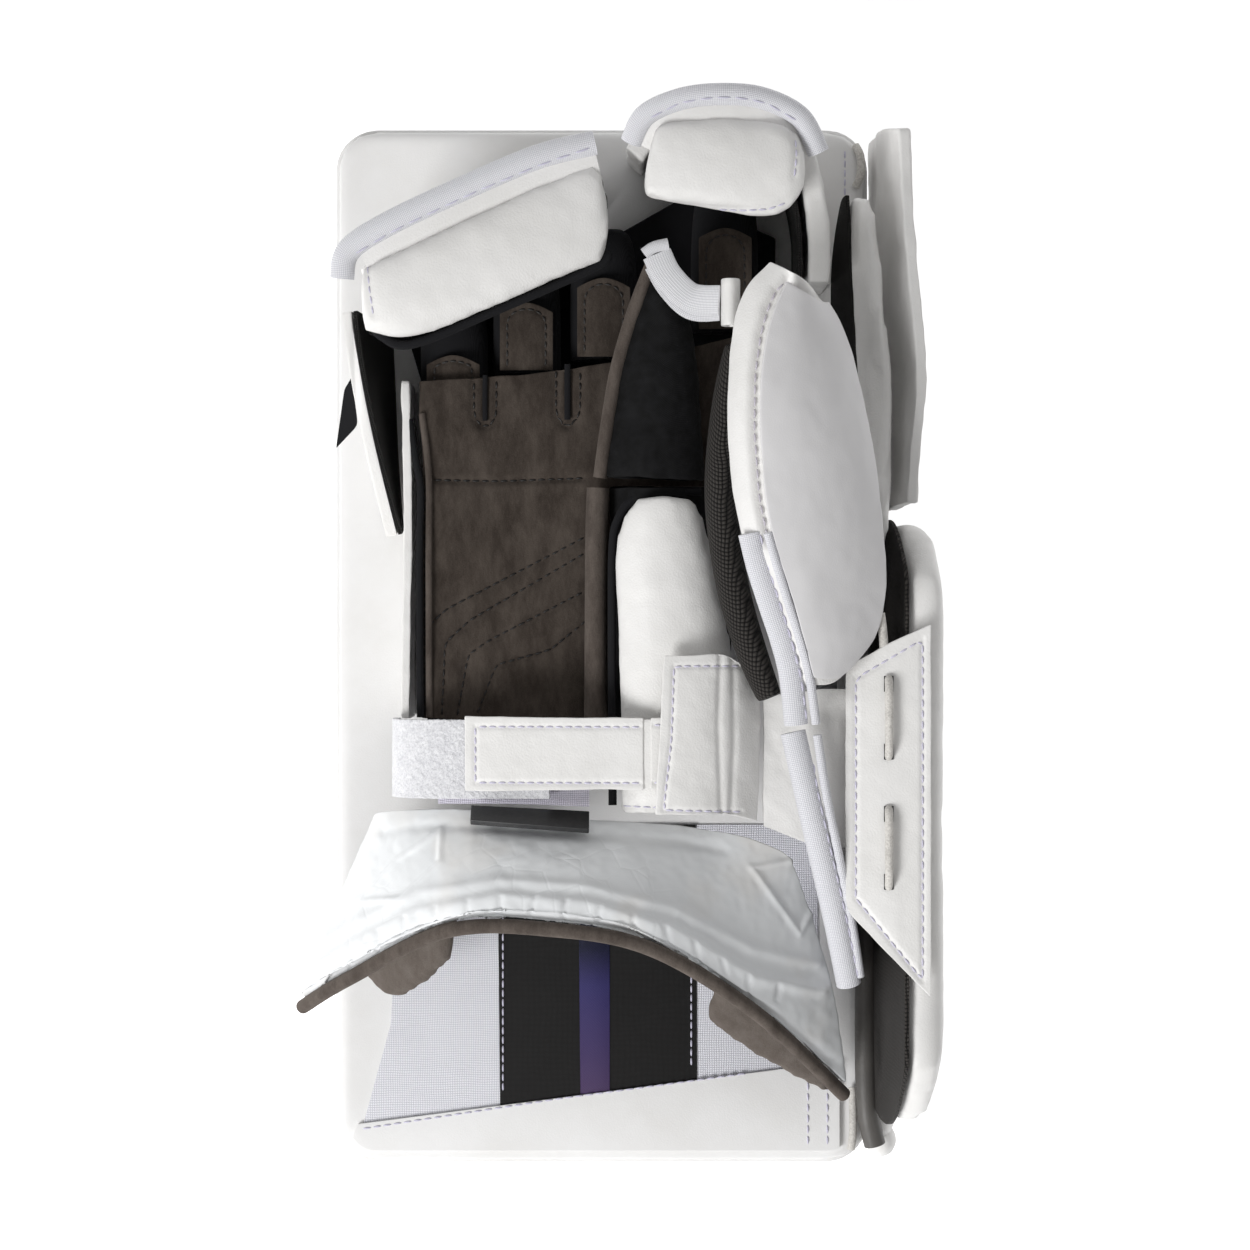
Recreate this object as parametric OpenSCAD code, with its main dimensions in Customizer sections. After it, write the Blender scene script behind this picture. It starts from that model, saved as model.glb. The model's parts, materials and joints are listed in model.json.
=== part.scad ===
// Goalie blocker for the right hand, lying on its blocking face.
// +X is the thumb side, +Y points along the fingers, +Z rises from the blocking face to the palm.

/* [Board] */
// Width of the board
board_w = 195; // [190:1:200]
// Length of the board
board_l = 381; // [376:1:384]
// Radius of the board's corners
corner_r = 14; // [8:1:20]
// Thickness of the outer foam
foam_t = 18; // [14:1:18]
// Thickness of the stiffening sheet
sheet_t = 2; // [1:0.5:2]
// Thickness of the padded back skin
back_t = 6; // [3:1:6]

/* [Leather and cloth] */
// Thickness of the cover on the blocking face
skin_t = 2; // [1:0.5:2]
// Thickness of suede, neoprene and mesh
cloth_t = 2; // [1.2:0.2:2]
// Thickness of the strap leather
strap_t = 2.4; // [1.6:0.2:2.4]

/* [Guards] */
// Thickness of the padded walls round the fingers
guard_wall_t = 8; // [5:1:8]
// Thickness of the rolls over the fingers at their edges
roll_t = 10; // [8:1:11]
// How far the rolls swell in the middle
roll_crown = 5; // [2:1:5]
// Thickness of the sideboard at its edges
side_t = 12; // [9:1:12]
// Thickness of the thumb guard at its edges
thumb_t = 6; // [4:1:6]

/* [Fingers] */
// Width of a finger stall
finger_w = 25; // [22:1:26]
// Height of a finger stall
finger_h = 20; // [17:1:20]
// Wall of a finger stall
finger_wall = 2; // [1.5:0.5:2.5]

/* [Hidden] */
board_top = skin_t + foam_t + sheet_t + back_t;
lift = board_top - 28;   // everything on the back rises and sinks with the board's thickness
gap = 0.4;               // between pieces that lie on each other
steps = 10;              // strips along a pad
across = 6;              // strips across a pad
panel_t = 0.6;           // each cloth layer of the forearm panel
hem_slope = 0.13;        // rise of the hem's slanting edge, per mm
finger_z = 52;           // height of the fingers' middle line

leather = "whitesmoke";
suede = "#5a5048";
black = "#222224";
weave = "#e6e6f2";
moulded = "#dfe5e8";

// ---- curves and surfaces ----

// A point on the smooth curve through the points p, for t from 0 to 1
function along(p, t) =
  let (n = len(p) - 1, i = min(floor(t * n), n - 1), f = t * n - i,
       a = p[max(i - 1, 0)], b = p[i], c = p[i + 1], d = p[min(i + 2, n)])
  0.5 * (2 * b + (c - a) * f + (2 * a - 5 * b + 4 * c - d) * f * f
         + (3 * b - a - 3 * c + d) * f * f * f);

// A point on the smooth surface through the rails, u across them and v along them
function surf(rails, u, v) = along([for (r = rails) along(r, v)], u);

function unit(v) = v / norm(v);

// The surface's normal
function facing(rails, u, v) =
  let (e = 0.02, u0 = max(u - e, 0), u1 = min(u + e, 1), v0 = max(v - e, 0), v1 = min(v + e, 1))
  unit(cross(surf(rails, u1, v) - surf(rails, u0, v), surf(rails, u, v1) - surf(rails, u, v0)));

// How full a pad is: 0 at its edges and 1 in the middle
function swell(u, v) = (1 - pow(2 * u - 1, 4)) * (1 - pow(2 * v - 1, 4));

// Triangles that close two like grids of (m + 1) by (n + 1) points into a solid
function closed(m, n) =
  let (w = n + 1, far = (m + 1) * (n + 1))
  concat(
    [for (i = [0:m - 1], j = [0:n - 1]) [i * w + j, (i + 1) * w + j + 1, i * w + j + 1]],
    [for (i = [0:m - 1], j = [0:n - 1]) [i * w + j, (i + 1) * w + j, (i + 1) * w + j + 1]],
    [for (i = [0:m - 1], j = [0:n - 1]) [far + i * w + j, far + i * w + j + 1, far + (i + 1) * w + j + 1]],
    [for (i = [0:m - 1], j = [0:n - 1]) [far + i * w + j, far + (i + 1) * w + j + 1, far + (i + 1) * w + j]],
    [for (i = [0:m - 1], e = [0, n]) let (a = i * w + e, b = a + w)
      e == 0 ? [a, far + b, b] : [b, far + b, a]],
    [for (i = [0:m - 1], e = [0, n]) let (a = i * w + e, b = a + w)
      e == 0 ? [a, far + a, far + b] : [a, far + b, far + a]],
    [for (j = [0:n - 1], e = [0, m]) let (a = e * w + j, b = a + 1)
      e == 0 ? [b, far + b, a] : [a, far + b, b]],
    [for (j = [0:n - 1], e = [0, m]) let (a = e * w + j, b = a + 1)
      e == 0 ? [a, far + b, far + a] : [a, far + a, far + b]]);

// A pad on the rails, t thick at its edges and t + crown in the middle
module pad(rails, t, crown = 0, m = across, n = steps)
  skin(rails, t, crown, 0, m, n);

// A layer t thick over the rails. With over at 0 it is a pad about them, otherwise it lies that far
// off a pad whose thickness is base + crown, on the side that its sign gives.
module skin(rails, t, crown = 0, over = 0, m = across, n = steps, base = 0) {
  grid = [for (i = [0:m], j = [0:n]) [i / m, j / n]];
  half = [for (g = grid) (base + crown * swell(g[0], g[1])) / 2 + (over == 0 ? t / 2 : 0)];
  at = [for (g = grid) surf(rails, g[0], g[1])];
  out = [for (g = grid) facing(rails, g[0], g[1])];
  top = over == 0 ? half : [for (h = half) abs(over) + h + t];
  low = over == 0 ? -half : [for (h = half) abs(over) + h];
  way = over < 0 ? -1 : 1;
  near_side = [for (k = [0:len(grid) - 1]) at[k] + out[k] * way * low[k]];
  far_side = [for (k = [0:len(grid) - 1]) at[k] + out[k] * way * top[k]];
  polyhedron(way < 0 ? concat(far_side, near_side) : concat(near_side, far_side), closed(m, n));
}

// A tube along the points, with rings w wide and h high
module tube(points, w, h, sides = 12, n = steps) {
  rings = [for (i = [0:n])
    let (t = i / n, p = along(points, t), wide = along(w, t) / 2, high = along(h, t) / 2,
         dir = unit(along(points, min(t + 0.02, 1)) - along(points, max(t - 0.02, 0))),
         side = unit(cross([0, 0, 1], dir)), up = cross(dir, side))
    for (k = [0:sides - 1]) p + wide * cos(360 * k / sides) * side + high * sin(360 * k / sides) * up];
  last = n * sides;
  polyhedron(rings, concat(
    [for (i = [0:n - 1], k = [0:sides - 1]) let (a = i * sides + k, b = i * sides + (k + 1) % sides)
      [a, a + sides, b + sides]],
    [for (i = [0:n - 1], k = [0:sides - 1]) let (a = i * sides + k, b = i * sides + (k + 1) % sides)
      [a, b + sides, b]],
    [for (k = [1:sides - 2]) [0, k, k + 1]],
    [for (k = [1:sides - 2]) [last, last + k + 1, last + k]]));
}

// A straight wall of even height that stands on a plan curve
function standing(plan, z0, z1) = [for (z = [z0, (z0 + z1) / 2, z1]) [for (p = plan) [p[0], p[1], z]]];

// What stands on the board's back
module up() { translate([0, 0, lift]) children(); }

// ---- board ----

module outline(inset = 0) {
  r = corner_r - inset;
  hull()
    for (x = [-1, 1], y = [-1, 1])
      translate([x * (board_w / 2 - corner_r), y * (board_l / 2 - corner_r)]) circle(r, $fn = 48);
}

module face_skin() {
  color(leather)
    difference() {
      hull() {
        translate([0, 0, 3]) linear_extrude(skin_t + foam_t + sheet_t - 3) outline();
        linear_extrude(3) outline(2.5);
      }
      translate([0, 0, skin_t]) linear_extrude(board_top) outline(skin_t + 2);
    }
}

module impact_foam() {
  color("lightgrey") translate([0, 0, skin_t]) linear_extrude(foam_t) outline(skin_t + 2);
}

module stiffener_sheet() {
  color("dimgrey") translate([0, 0, skin_t + foam_t]) linear_extrude(sheet_t) outline(skin_t + 2);
}

module back_skin() {
  color(leather)
    hull() {
      translate([0, 0, board_top - back_t]) linear_extrude(back_t - 3) outline();
      translate([0, 0, board_top - 3]) linear_extrude(3) outline(3);
    }
}

// Height of the hem's slanting edge at x
function hem_y(x) = -176.5 + hem_slope * (x + 88.6);

module nylon_panel() {
  color(weave) translate([0, 0, board_top]) linear_extrude(panel_t)
    polygon([[-88, hem_y(-88)], [-78, -140], [-74, -66], [80, -66], [80, hem_y(80)]]);
}

module black_panel() {
  color(black) translate([0, 0, board_top + panel_t]) linear_extrude(panel_t)
    polygon([[-37.5, hem_y(-37.5)], [-38.5, -66], [35, -66], [35.3, hem_y(35.3)]]);
}

module colour_stripe() {
  color("#3a2f8a") translate([0, 0, board_top + 2 * panel_t]) linear_extrude(panel_t / 2)
    polygon([[-7.8, hem_y(-7.8)], [-8.7, -66], [3.1, -66], [3.1, hem_y(3.1)]]);
}

module hem_band() {
  color(leather) translate([0, 0, board_top]) linear_extrude(2.2)
    intersection() {
      outline(4);
      polygon([[-100, -200], [-90, hem_y(-90)], [88, hem_y(88)], [88, -200]]);
    }
}

// ---- glove ----

module backhand_pad() {
  color(black) up() translate([0, 0, 28]) linear_extrude(10)
    polygon([[-64, -48], [46, -48], [50, 60], [64, 110], [64, 150], [30, 165], [0, 148],
             [-60, 122], [-70, 110], [-64, 90]]);
}

palm_rails = [
  [[-65, -26, 69], [-65, 35, 69], [-64, 60, 69], [-66, 96, 67]],
  [[-30, -26, 68], [-30, 35, 66], [-30, 60, 66], [-28, 98, 66]],
  [[10, -26, 69], [10, 35, 68], [10, 60, 68], [12, 104, 66]],
  [[46, -26, 69], [46, 35, 69], [46, 60, 69], [50, 112, 67]]
];

module palm() {
  color(suede) up()
    difference() {
      pad(palm_rails, cloth_t);
      translate([3, -30, 55]) cube([40, 88, 30]);
    }
}

module palm_roll() {
  color(suede) up()
    tube([[-2, -26, 75], [-1.8, 10, 76], [-1.6, 40, 76], [-1, 57, 76]], [8, 8], [9, 9]);
}

module glove_side_wall() {
  color(leather) up()
    pad(standing([[-70.5, -26], [-70, 10], [-69.5, 45], [-70.5, 96]], 28.3, 71), 3);
}

thenar_rails = [
  [[3, -26, 71], [4, 16, 71], [4, 57, 71]],
  [[11, -26, 80], [12, 16, 81], [11, 57, 83]],
  [[24, -26, 84], [24, 16, 84], [21, 57, 87]],
  [[36, -26, 80], [36, 16, 80], [31, 57, 84]],
  [[44, -26, 72], [44, 16, 72], [40, 57, 72]]
];

module thenar_panel() {
  color(black) up() pad(thenar_rails, cloth_t, 0, 8);
}

heel_rails = [
  [[7, -60, 83], [7, -10, 83.5], [6, 36, 84], [14, 53, 88]],
  [[17, -60, 89.5], [17, -10, 91], [15, 38, 92], [20, 54.5, 92]],
  [[35, -60, 89.5], [34, -10, 91], [28, 38, 91.5], [26, 54.5, 92]],
  [[47, -60, 81], [45, -10, 82], [38, 34, 84], [32, 53, 88]]
];

module heel_pad() {
  color(leather) up() pad(heel_rails, 4, 3);
}

module loop_tape() {
  color("#ececf0") up()
    pad([[[-74, -26, 50], [-74, -54, 50]], [[-74, -26, 72], [-74, -54, 72]],
         [[-66, -26, 84], [-66, -54, 84]], [[-50, -26, 89], [-50, -54, 89]],
         [[-34, -26, 90.5], [-34, -54, 90.5]], [[-18, -26, 92], [-18, -54, 92]]], cloth_t, 0, 12, 4);
}

strap_rails = [
  [[-48, -24.5, 94], [-48, -51, 94]],
  [[-30, -24.8, 96], [-30, -51, 96]],
  [[-8, -25, 98], [-8, -50.5, 98]],
  [[15, -25, 99], [15, -50.5, 99]]
];

module wrist_strap() {
  color(leather) up() pad(strap_rails, strap_t, 0, 8, 4);
}

module hook_patch() {
  color(black) up()
    pad([[[-46, -27, 92.1], [-46, -49, 92.1]], [[-30, -27, 93.6], [-30, -49, 93.6]],
         [[-19, -27, 94.7], [-19, -49, 94.7]]], 1.2, 0, 4, 4);
}

module strap_anchor() {
  color(leather) up()
    pad([[[18.2, -25, 99], [18.2, -50.5, 99]], [[30, -25, 98.5], [30, -50.5, 98.5]],
         [[40, -25, 96.5], [40, -50.5, 96.5]], [[48, -25, 92], [48, -50.5, 92]]], strap_t, 0, 6, 4);
}

tab_rails = [
  [[22.5, -3, 102.2], [21, -30, 102.6], [19.5, -59, 102.2]],
  [[34, -3, 101.6], [34, -30, 102], [33, -59, 101.6]],
  [[46, -3, 97], [46, -30, 97.6], [45, -59, 97]],
  [[56, -14, 89], [56, -30, 89], [55, -62, 89]]
];

module cross_tab() {
  color(leather) up() pad(tab_rails, strap_t);
}

module wrist_band() {
  color("#d9d6e6") up()
    pad([[[-58, -49, 84], [-30, -49, 86], [-4, -50, 86]], [[-58, -56, 84], [-30, -56, 86], [-4, -57, 86]]],
        cloth_t, 0, 3);
}

module link_strap() {
  color("white") up()
    pad([[[58, -17, 87.5], [58, -64, 87.5]], [[66, -17, 87.5], [66, -67, 87.5]],
         [[78, -15, 88.5], [78, -71, 88.5]], [[91, -15, 90.5], [91, -71, 90.5]]], cloth_t);
}

module side_gusset() {
  color(weave) up()
    pad([[[87, 46, 90], [85, 22, 90], [75, -18, 83], [76, -58, 82], [81, -98, 78], [86, -122, 68]],
         [[88, 47, 60], [87, 22, 58], [81, -18, 56], [82, -58, 56], [86, -98, 54], [89, -124, 48]],
         [[89, 48, 29.3], [88, 22, 29.3], [86, -18, 29.3], [87, -58, 29.3], [90, -98, 29.3],
          [92, -126, 29.3]]],
        cloth_t, 0, 6, 14);
}

module gusset_binding() {
  color(weave) up()
    tube([[68, -30, 102], [73, -52, 101], [77.5, -71, 98], [84, -98, 88], [89, -121, 77]],
         [9, 9], [7, 7], 12, 14);
}

// ---- little finger's side wing ----

wing_rails = [
  [[-81, 116, 29], [-80, 95, 29], [-79, 70, 29], [-77, 45, 32]],
  [[-86, 118, 56], [-84, 96, 54], [-81, 70, 50], [-76, 42, 46]],
  [[-91, 120, 80], [-88, 97, 78], [-83, 70, 68], [-76, 40, 58]]
];

module side_wing() { color(leather) up() pad(wing_rails, 4); }
module side_wing_liner() { color(black) up() skin(wing_rails, 1.6, 0, gap, across, steps, 4); }

module side_tag() {
  color(black) up()
    pad([[[-90, 97, 68], [-88, 80, 64]], [[-92.5, 93, 66], [-96, 72, 60]]], 1.2, 0, 3, 4);
}

// ---- finger stalls: middle of the finger, where it starts and how long it is ----

little = [-53.5, 93, 34];
ring = [-27, 99, 42];
middle = [1, 104, 48];
index = [45, 114, 54];

module stall(finger) {
  x = finger[0];
  y = finger[1];
  tip = finger[1] + finger[2];
  color(black) up()
    difference() {
      tube([[x, y, finger_z], [x, y + finger[2] * 0.6, finger_z], [x, tip - 4, finger_z], [x, tip, finger_z]],
           [finger_w, finger_w, finger_w - 4, finger_w / 2], [finger_h, finger_h, finger_h - 3, finger_h / 2],
           16, 8);
      tube([[x, y - 1, finger_z], [x, y + finger[2] * 0.5, finger_z], [x, tip - 7, finger_z]],
           [finger_w - 2 * finger_wall, finger_w - 2 * finger_wall, finger_w - 10],
           [finger_h - 2 * finger_wall, finger_h - 2 * finger_wall, finger_h - 9], 16, 5);
    }
}

// The suede front of a finger, over the start of its stall
module tab(finger, length) {
  x = finger[0];
  y = finger[1] + 1;
  z = finger_z + finger_h / 2 + 0.9;
  w = finger_w / 2 - 3;
  color(suede) up()
    pad([[[x - w, y, z - 0.6], [x - w, y + length - 4, z - 0.6]], [[x, y, z + 1], [x, y + length, z + 1]],
         [[x + w, y, z - 0.6], [x + w, y + length - 4, z - 0.6]]], 1.4, 0, 4, 5);
}

// ---- thumb ----

module thumb_stall() {
  color(black) up()
    difference() {
      tube([[19, 60, 81.5], [20, 85, 82], [21, 108, 83], [22, 126, 84], [23, 140, 85]],
           [36, 32, 26, 17, 7], [20, 19, 18, 15, 7], 20, 10);
      tube([[19, 59, 81.5], [20, 85, 82], [21, 108, 83], [22, 128, 84]],
           [32, 28, 22, 10], [16, 15, 14, 8], 20, 8);
    }
}

guard_rails = [
  [[61, 134, 109], [50, 120, 109], [46.6, 87, 109], [50, 46, 108], [63, 14, 106], [71, -12, 103]],
  [[67, 131, 114], [60, 113, 118], [57, 84, 119], [60, 44, 117], [70, 12, 112], [75, -13, 106]],
  [[71, 127, 110], [75, 104, 112], [80, 72, 112], [83, 36, 110], [84, 8, 107], [83, -11, 102]],
  [[74, 122, 104], [84, 108, 100], [94, 66, 99], [98, 34, 99], [99, 18, 99], [92, 3, 99]]
];

module thumb_guard_shell() { color(leather) up() pad(guard_rails, thumb_t, 1.5, 8, 14); }

// The smooth panel lies inside the seam, on the outer side of the ridge
function inner_rails(rails, u0, u1, v0, v1, m = 4, n = 8) =
  [for (i = [0:m]) [for (j = [0:n]) surf(rails, u0 + (u1 - u0) * i / m, v0 + (v1 - v0) * j / n)]];

module thumb_guard_panel() {
  color("gainsboro") up()
    skin(inner_rails(guard_rails, 0.3, 0.96, 0.07, 0.96), 1.2, 0, -gap, 8, 12, thumb_t + 1.5);
}

module thumb_mesh_roll() {
  color(black) up()
    tube([[49, 107, 96.5], [45.5, 88, 95], [42.5, 59, 95], [44, 38, 96], [48, 16, 97], [55, -6, 98.5],
          [60, -18, 99.5]], [10, 12, 12, 12, 12, 11, 9], [11, 14, 14, 13, 12, 11, 9], 14, 14);
}

module elastic_strap() {
  color("white") up()
    tube([[20, 139, 92.5], [24, 131, 94], [32, 123, 96], [42, 122, 101]], [8, 8], [2.6, 2.6], 12, 8);
}

module elastic_loop() {
  color(leather) up()
    difference() {
      tube([[46, 113.5, 100.5], [46, 130, 100.5]], [7, 7], [12, 12], 16, 2);
      tube([[46, 112, 100.5], [46, 132, 100.5]], [3, 3], [8.4, 8.4], 16, 2);
    }
}

// ---- finger guard ----

guard_plan = [[-84, 132], [-66, 143], [-43, 153], [0, 170]];

module finger_guard_wall() {
  color(leather) up() pad(standing(guard_plan, 28.4, 80), guard_wall_t);
}

finger_roll_rails = [
  [[-84, 113, 88.5], [-67, 110, 89], [-33, 124, 89.5], [1, 138, 89]],
  [[-85, 120, 90], [-60, 121, 91], [-30, 133, 91.5], [3, 148, 91]],
  [[-85, 128, 90], [-62, 136, 91], [-34, 147, 91.5], [2, 161, 91]],
  [[-84, 134, 88.5], [-62, 145, 89], [-34, 158, 89.5], [-1, 172, 89]]
];

module finger_guard_roll() { color(leather) up() pad(finger_roll_rails, roll_t, roll_crown); }

liner_plan = [[-78, 127], [-62, 136.5], [-40, 146.5], [2, 162.5]];

module finger_guard_liner() {
  color(black) up()
    pad(concat([for (z = [29, 52, 72]) [for (p = liner_plan) [p[0], p[1], z]]],
               [[[-78, 124, 80], [-62, 131, 80.6], [-39, 141, 81], [2, 157, 80.6]],
                [[-83, 112, 81], [-67, 109, 81.4], [-34, 122, 81.6], [1, 137, 81]]]), cloth_t, 0, 12);
}

module finger_guard_piping() {
  color(weave) up()
    tube([[-92, 131, 90], [-89.5, 141, 91], [-75, 150.5, 93], [-47, 163.5, 94], [-22, 174, 94],
          [-2, 179, 93]], [7, 9, 9, 9, 9, 8], [7, 7], 12, 16);
}

// ---- index guard ----

index_plan = [[12, 176], [22, 186], [44, 190], [66, 185], [74, 172], [78, 150], [78, 130]];

module index_guard_wall() {
  color(leather) up() pad(standing(index_plan, 28.4, 82), guard_wall_t, 0, 4, 18);
}

index_roll_rails = [
  [[15, 160, 90.5], [40, 156, 91], [62, 153, 90.5], [71, 163, 90]],
  [[17, 174, 92], [42, 171, 93], [64, 170, 92.5], [71.5, 171, 91]],
  [[20, 186, 90.5], [44, 187, 91], [63, 185.5, 90.5], [71, 180, 90]]
];

module index_guard_roll() { color(leather) up() pad(index_roll_rails, roll_t, roll_crown); }

index_liner_plan = [[17, 171], [25, 179], [44, 183], [61, 179], [67, 168], [71, 150], [71, 131]];

module index_guard_liner() {
  color(black) up() pad(standing(index_liner_plan, 29, 81), cloth_t, 0, 4, 18);
}

module index_guard_piping() {
  color(weave) up()
    tube([[11, 180, 88], [16, 189, 92], [29, 194.5, 95], [44, 196, 96], [58, 194.5, 95], [71, 188, 93],
          [77.5, 176, 90]], [8, 8], [8, 8], 12, 18);
}

// ---- sideboard ----

side_rails = [
  [[107, -160, 14], [107, -110, 12], [107, -60, 12], [107, -10, 12], [107, 34, 14]],
  [[109, -172, 38], [109, -112, 38], [109, -60, 38], [109, -8, 38], [109, 44, 38]],
  [[113, -172, 66], [113, -112, 66], [113, -60, 66], [113, -8, 66], [113, 45, 66]],
  [[116, -150, 92], [116, -106, 92], [116, -60, 92], [116, -14, 92], [116, 26, 92]]
];

module sideboard_pad() { color(leather) up() pad(side_rails, side_t, 2, 8, 12); }
module sideboard_liner() { color(black) up() skin(side_rails, 1.6, 2, gap, 8, 12, side_t); }

module upper_wing() {
  color(leather) up()
    pad([[[101, 188, 16], [101, 140, 14], [101, 98, 14], [101, 70, 14], [101, 48, 16]],
         [[104, 189, 46], [105, 140, 46], [107, 98, 46], [106, 70, 46], [106, 50, 46]],
         [[109, 186, 76], [111, 142, 82], [115, 100, 82], [113, 74, 80], [112, 52, 74]]], 4, 0, 6, 12);
}

module sideboard_flap() {
  color(leather) up()
    pad([[[87, -7, 95], [87, -50, 95.5], [87, -93, 95]], [[102, 1, 97], [102, -53, 97.5], [102, -109, 97]],
         [[117, 8, 97.5], [117, -58, 98], [117, -124, 97.5]]], strap_t);
}

module flap_laces() {
  color("ivory") up()
    for (y = [[-13, -37], [-59, -83]])
      tube([[102, y[0], 100.8], [102, y[0] - 4, 101.6], [102, y[1] + 4, 101.6], [102, y[1], 100.8]],
           [3, 3], [3, 3], 8, 8);
}

side_pad_rails = [
  [[91.5, 160, 60], [88, 136, 52], [89.5, 100, 48], [92, 66, 50], [96, 34, 58]],
  [[92.5, 164, 66], [93, 140, 66], [95, 102, 65], [97, 66, 65], [99, 30, 64]],
  [[96, 162, 73], [100, 142, 76], [104, 104, 78], [104, 68, 76], [102, 34, 70]]
];

module side_pad() { color(leather) up() pad(side_pad_rails, 4, 2, 6, 10); }
// Its cloth covers the inner face and leaves a rim of leather at the top
module side_pad_liner() {
  color(black) up() skin(inner_rails(side_pad_rails, 0, 0.56, 0.02, 0.98), 1.4, 0, -gap, 6, 10, 6);
}

// ---- cuff ----

cuff_rails = [
  [[-80, -61, 68], [-72, -59, 78], [-50, -59, 86], [-18, -62, 89], [20, -64, 89], [48, -67, 87],
   [67, -74, 82]],
  [[-92, -88, 66], [-76, -80, 84], [-52, -74, 98], [-18, -74, 104], [18, -78, 103], [52, -90, 92],
   [76, -100, 78]],
  [[-106, -122, 62], [-88, -110, 84], [-54, -92, 110], [-18, -91, 117], [18, -98, 116], [53, -121, 99],
   [84, -130, 72]],
  [[-107, -126, 62], [-89, -114, 85], [-53, -95, 112], [-17, -94, 120], [17, -101, 118], [53, -125, 98],
   [88, -158, 62]]
];

module cuff_shell() { color(moulded) up() pad(cuff_rails, 4, 0, 8, 16); }

module cuff_edging() {
  color(suede) up()
    tube([[-108, -130.5, 61], [-90, -118.5, 84], [-54, -99.5, 112], [-17, -98.5, 120], [18, -105.5, 118],
          [55, -129.5, 97], [88, -162.5, 60]], [5, 5], [6, 6], 10, 20);
}

module left_wrist_pad() {
  color(suede) up()
    pad([[[-80, -72, 58], [-66, -70, 72], [-48, -70, 82]], [[-84, -94, 54], [-68, -96, 72], [-50, -88, 88]],
         [[-90, -114, 48], [-74, -128, 58], [-54, -112, 84]]], 6, 2);
}

module right_wrist_pad() {
  color(suede) up()
    pad([[[42, -108, 88], [62, -122, 78], [84, -150, 56]], [[40, -122, 76], [60, -138, 64], [84, -156, 48]],
         [[38, -134, 64], [60, -150, 54], [84, -164, 40]]], 6, 2);
}

module pull_tab() {
  color(black) up()
    pad([[[-46, -57, 91.5], [-24, -58, 94], [-4, -59, 94.4]],
         [[-46, -62, 99.5], [-24, -63.5, 102.5], [-4, -65, 103]]], cloth_t, 0, 3, 6);
}

face_skin();
impact_foam();
stiffener_sheet();
back_skin();
nylon_panel();
black_panel();
colour_stripe();
hem_band();
backhand_pad();
palm();
palm_roll();
glove_side_wall();
thenar_panel();
heel_pad();
loop_tape();
strap_anchor();
cross_tab();
wrist_band();
link_strap();
side_gusset();
gusset_binding();
side_wing();
side_wing_liner();
side_tag();
stall(little);  // little_stall
tab(little, 12);  // little_tab
stall(ring);  // ring_stall
tab(ring, 25);  // ring_tab
stall(middle);  // middle_stall
tab(middle, 29);  // middle_tab
stall(index);  // index_stall
tab(index, 37);  // index_tab
thumb_stall();
thumb_guard_shell();
thumb_guard_panel();
thumb_mesh_roll();
elastic_strap();
elastic_loop();
finger_guard_wall();
finger_guard_roll();
finger_guard_liner();
finger_guard_piping();
index_guard_wall();
index_guard_roll();
index_guard_liner();
index_guard_piping();
sideboard_pad();
sideboard_liner();
upper_wing();
sideboard_flap();
flap_laces();
side_pad();
side_pad_liner();
cuff_shell();
cuff_edging();
left_wrist_pad();
right_wrist_pad();
pull_tab();
wrist_strap();
hook_patch();
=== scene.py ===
import json
import math
import bmesh
import bpy
import numpy as np
from mathutils import Matrix, Vector
from mathutils.bvhtree import BVHTree
from mathutils.noise import fractal


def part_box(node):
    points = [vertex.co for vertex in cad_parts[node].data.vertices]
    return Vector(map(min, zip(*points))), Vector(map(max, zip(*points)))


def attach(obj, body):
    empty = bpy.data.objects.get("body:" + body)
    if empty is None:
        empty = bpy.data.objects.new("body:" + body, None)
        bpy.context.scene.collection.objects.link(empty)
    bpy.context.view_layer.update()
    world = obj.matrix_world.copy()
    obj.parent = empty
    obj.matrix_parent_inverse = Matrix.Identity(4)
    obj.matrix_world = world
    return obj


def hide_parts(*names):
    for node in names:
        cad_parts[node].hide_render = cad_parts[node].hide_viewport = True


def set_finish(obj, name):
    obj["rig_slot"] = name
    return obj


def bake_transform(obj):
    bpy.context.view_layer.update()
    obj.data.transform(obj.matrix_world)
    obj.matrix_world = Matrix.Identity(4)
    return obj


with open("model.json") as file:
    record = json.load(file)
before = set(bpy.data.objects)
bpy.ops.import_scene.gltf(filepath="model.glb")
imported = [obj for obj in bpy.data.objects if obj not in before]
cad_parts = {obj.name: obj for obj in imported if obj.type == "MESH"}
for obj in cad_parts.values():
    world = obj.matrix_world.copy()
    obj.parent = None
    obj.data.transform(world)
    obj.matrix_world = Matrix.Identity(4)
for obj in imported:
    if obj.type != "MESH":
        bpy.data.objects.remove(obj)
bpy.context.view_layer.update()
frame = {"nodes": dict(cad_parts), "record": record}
scene = bpy.context.scene
finished = {}   # every new piece by name
print("frame loaded:", len(frame["nodes"]), "nodes")


# ---- hands: select, copy, apply ----

def pick(piece):
    bpy.ops.object.select_all(action="DESELECT")
    piece.hide_set(False)
    piece.select_set(True)
    bpy.context.view_layer.objects.active = piece


def edit(piece, kind="VERT"):
    pick(piece)
    bpy.ops.object.mode_set(mode="EDIT")
    bpy.ops.mesh.select_mode(type=kind)
    bpy.ops.mesh.select_all(action="DESELECT")


def chooseFaces(piece, test):   # selects the faces that pass the test, in edit mode
    mesh = bmesh.from_edit_mesh(piece.data)
    for face in mesh.faces:
        face.select_set(test(face))
    bmesh.update_edit_mesh(piece.data)


def chooseEdges(piece, test):
    mesh = bmesh.from_edit_mesh(piece.data)
    for edge in mesh.edges:
        edge.select_set(test(edge))
    bmesh.update_edit_mesh(piece.data)


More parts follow.
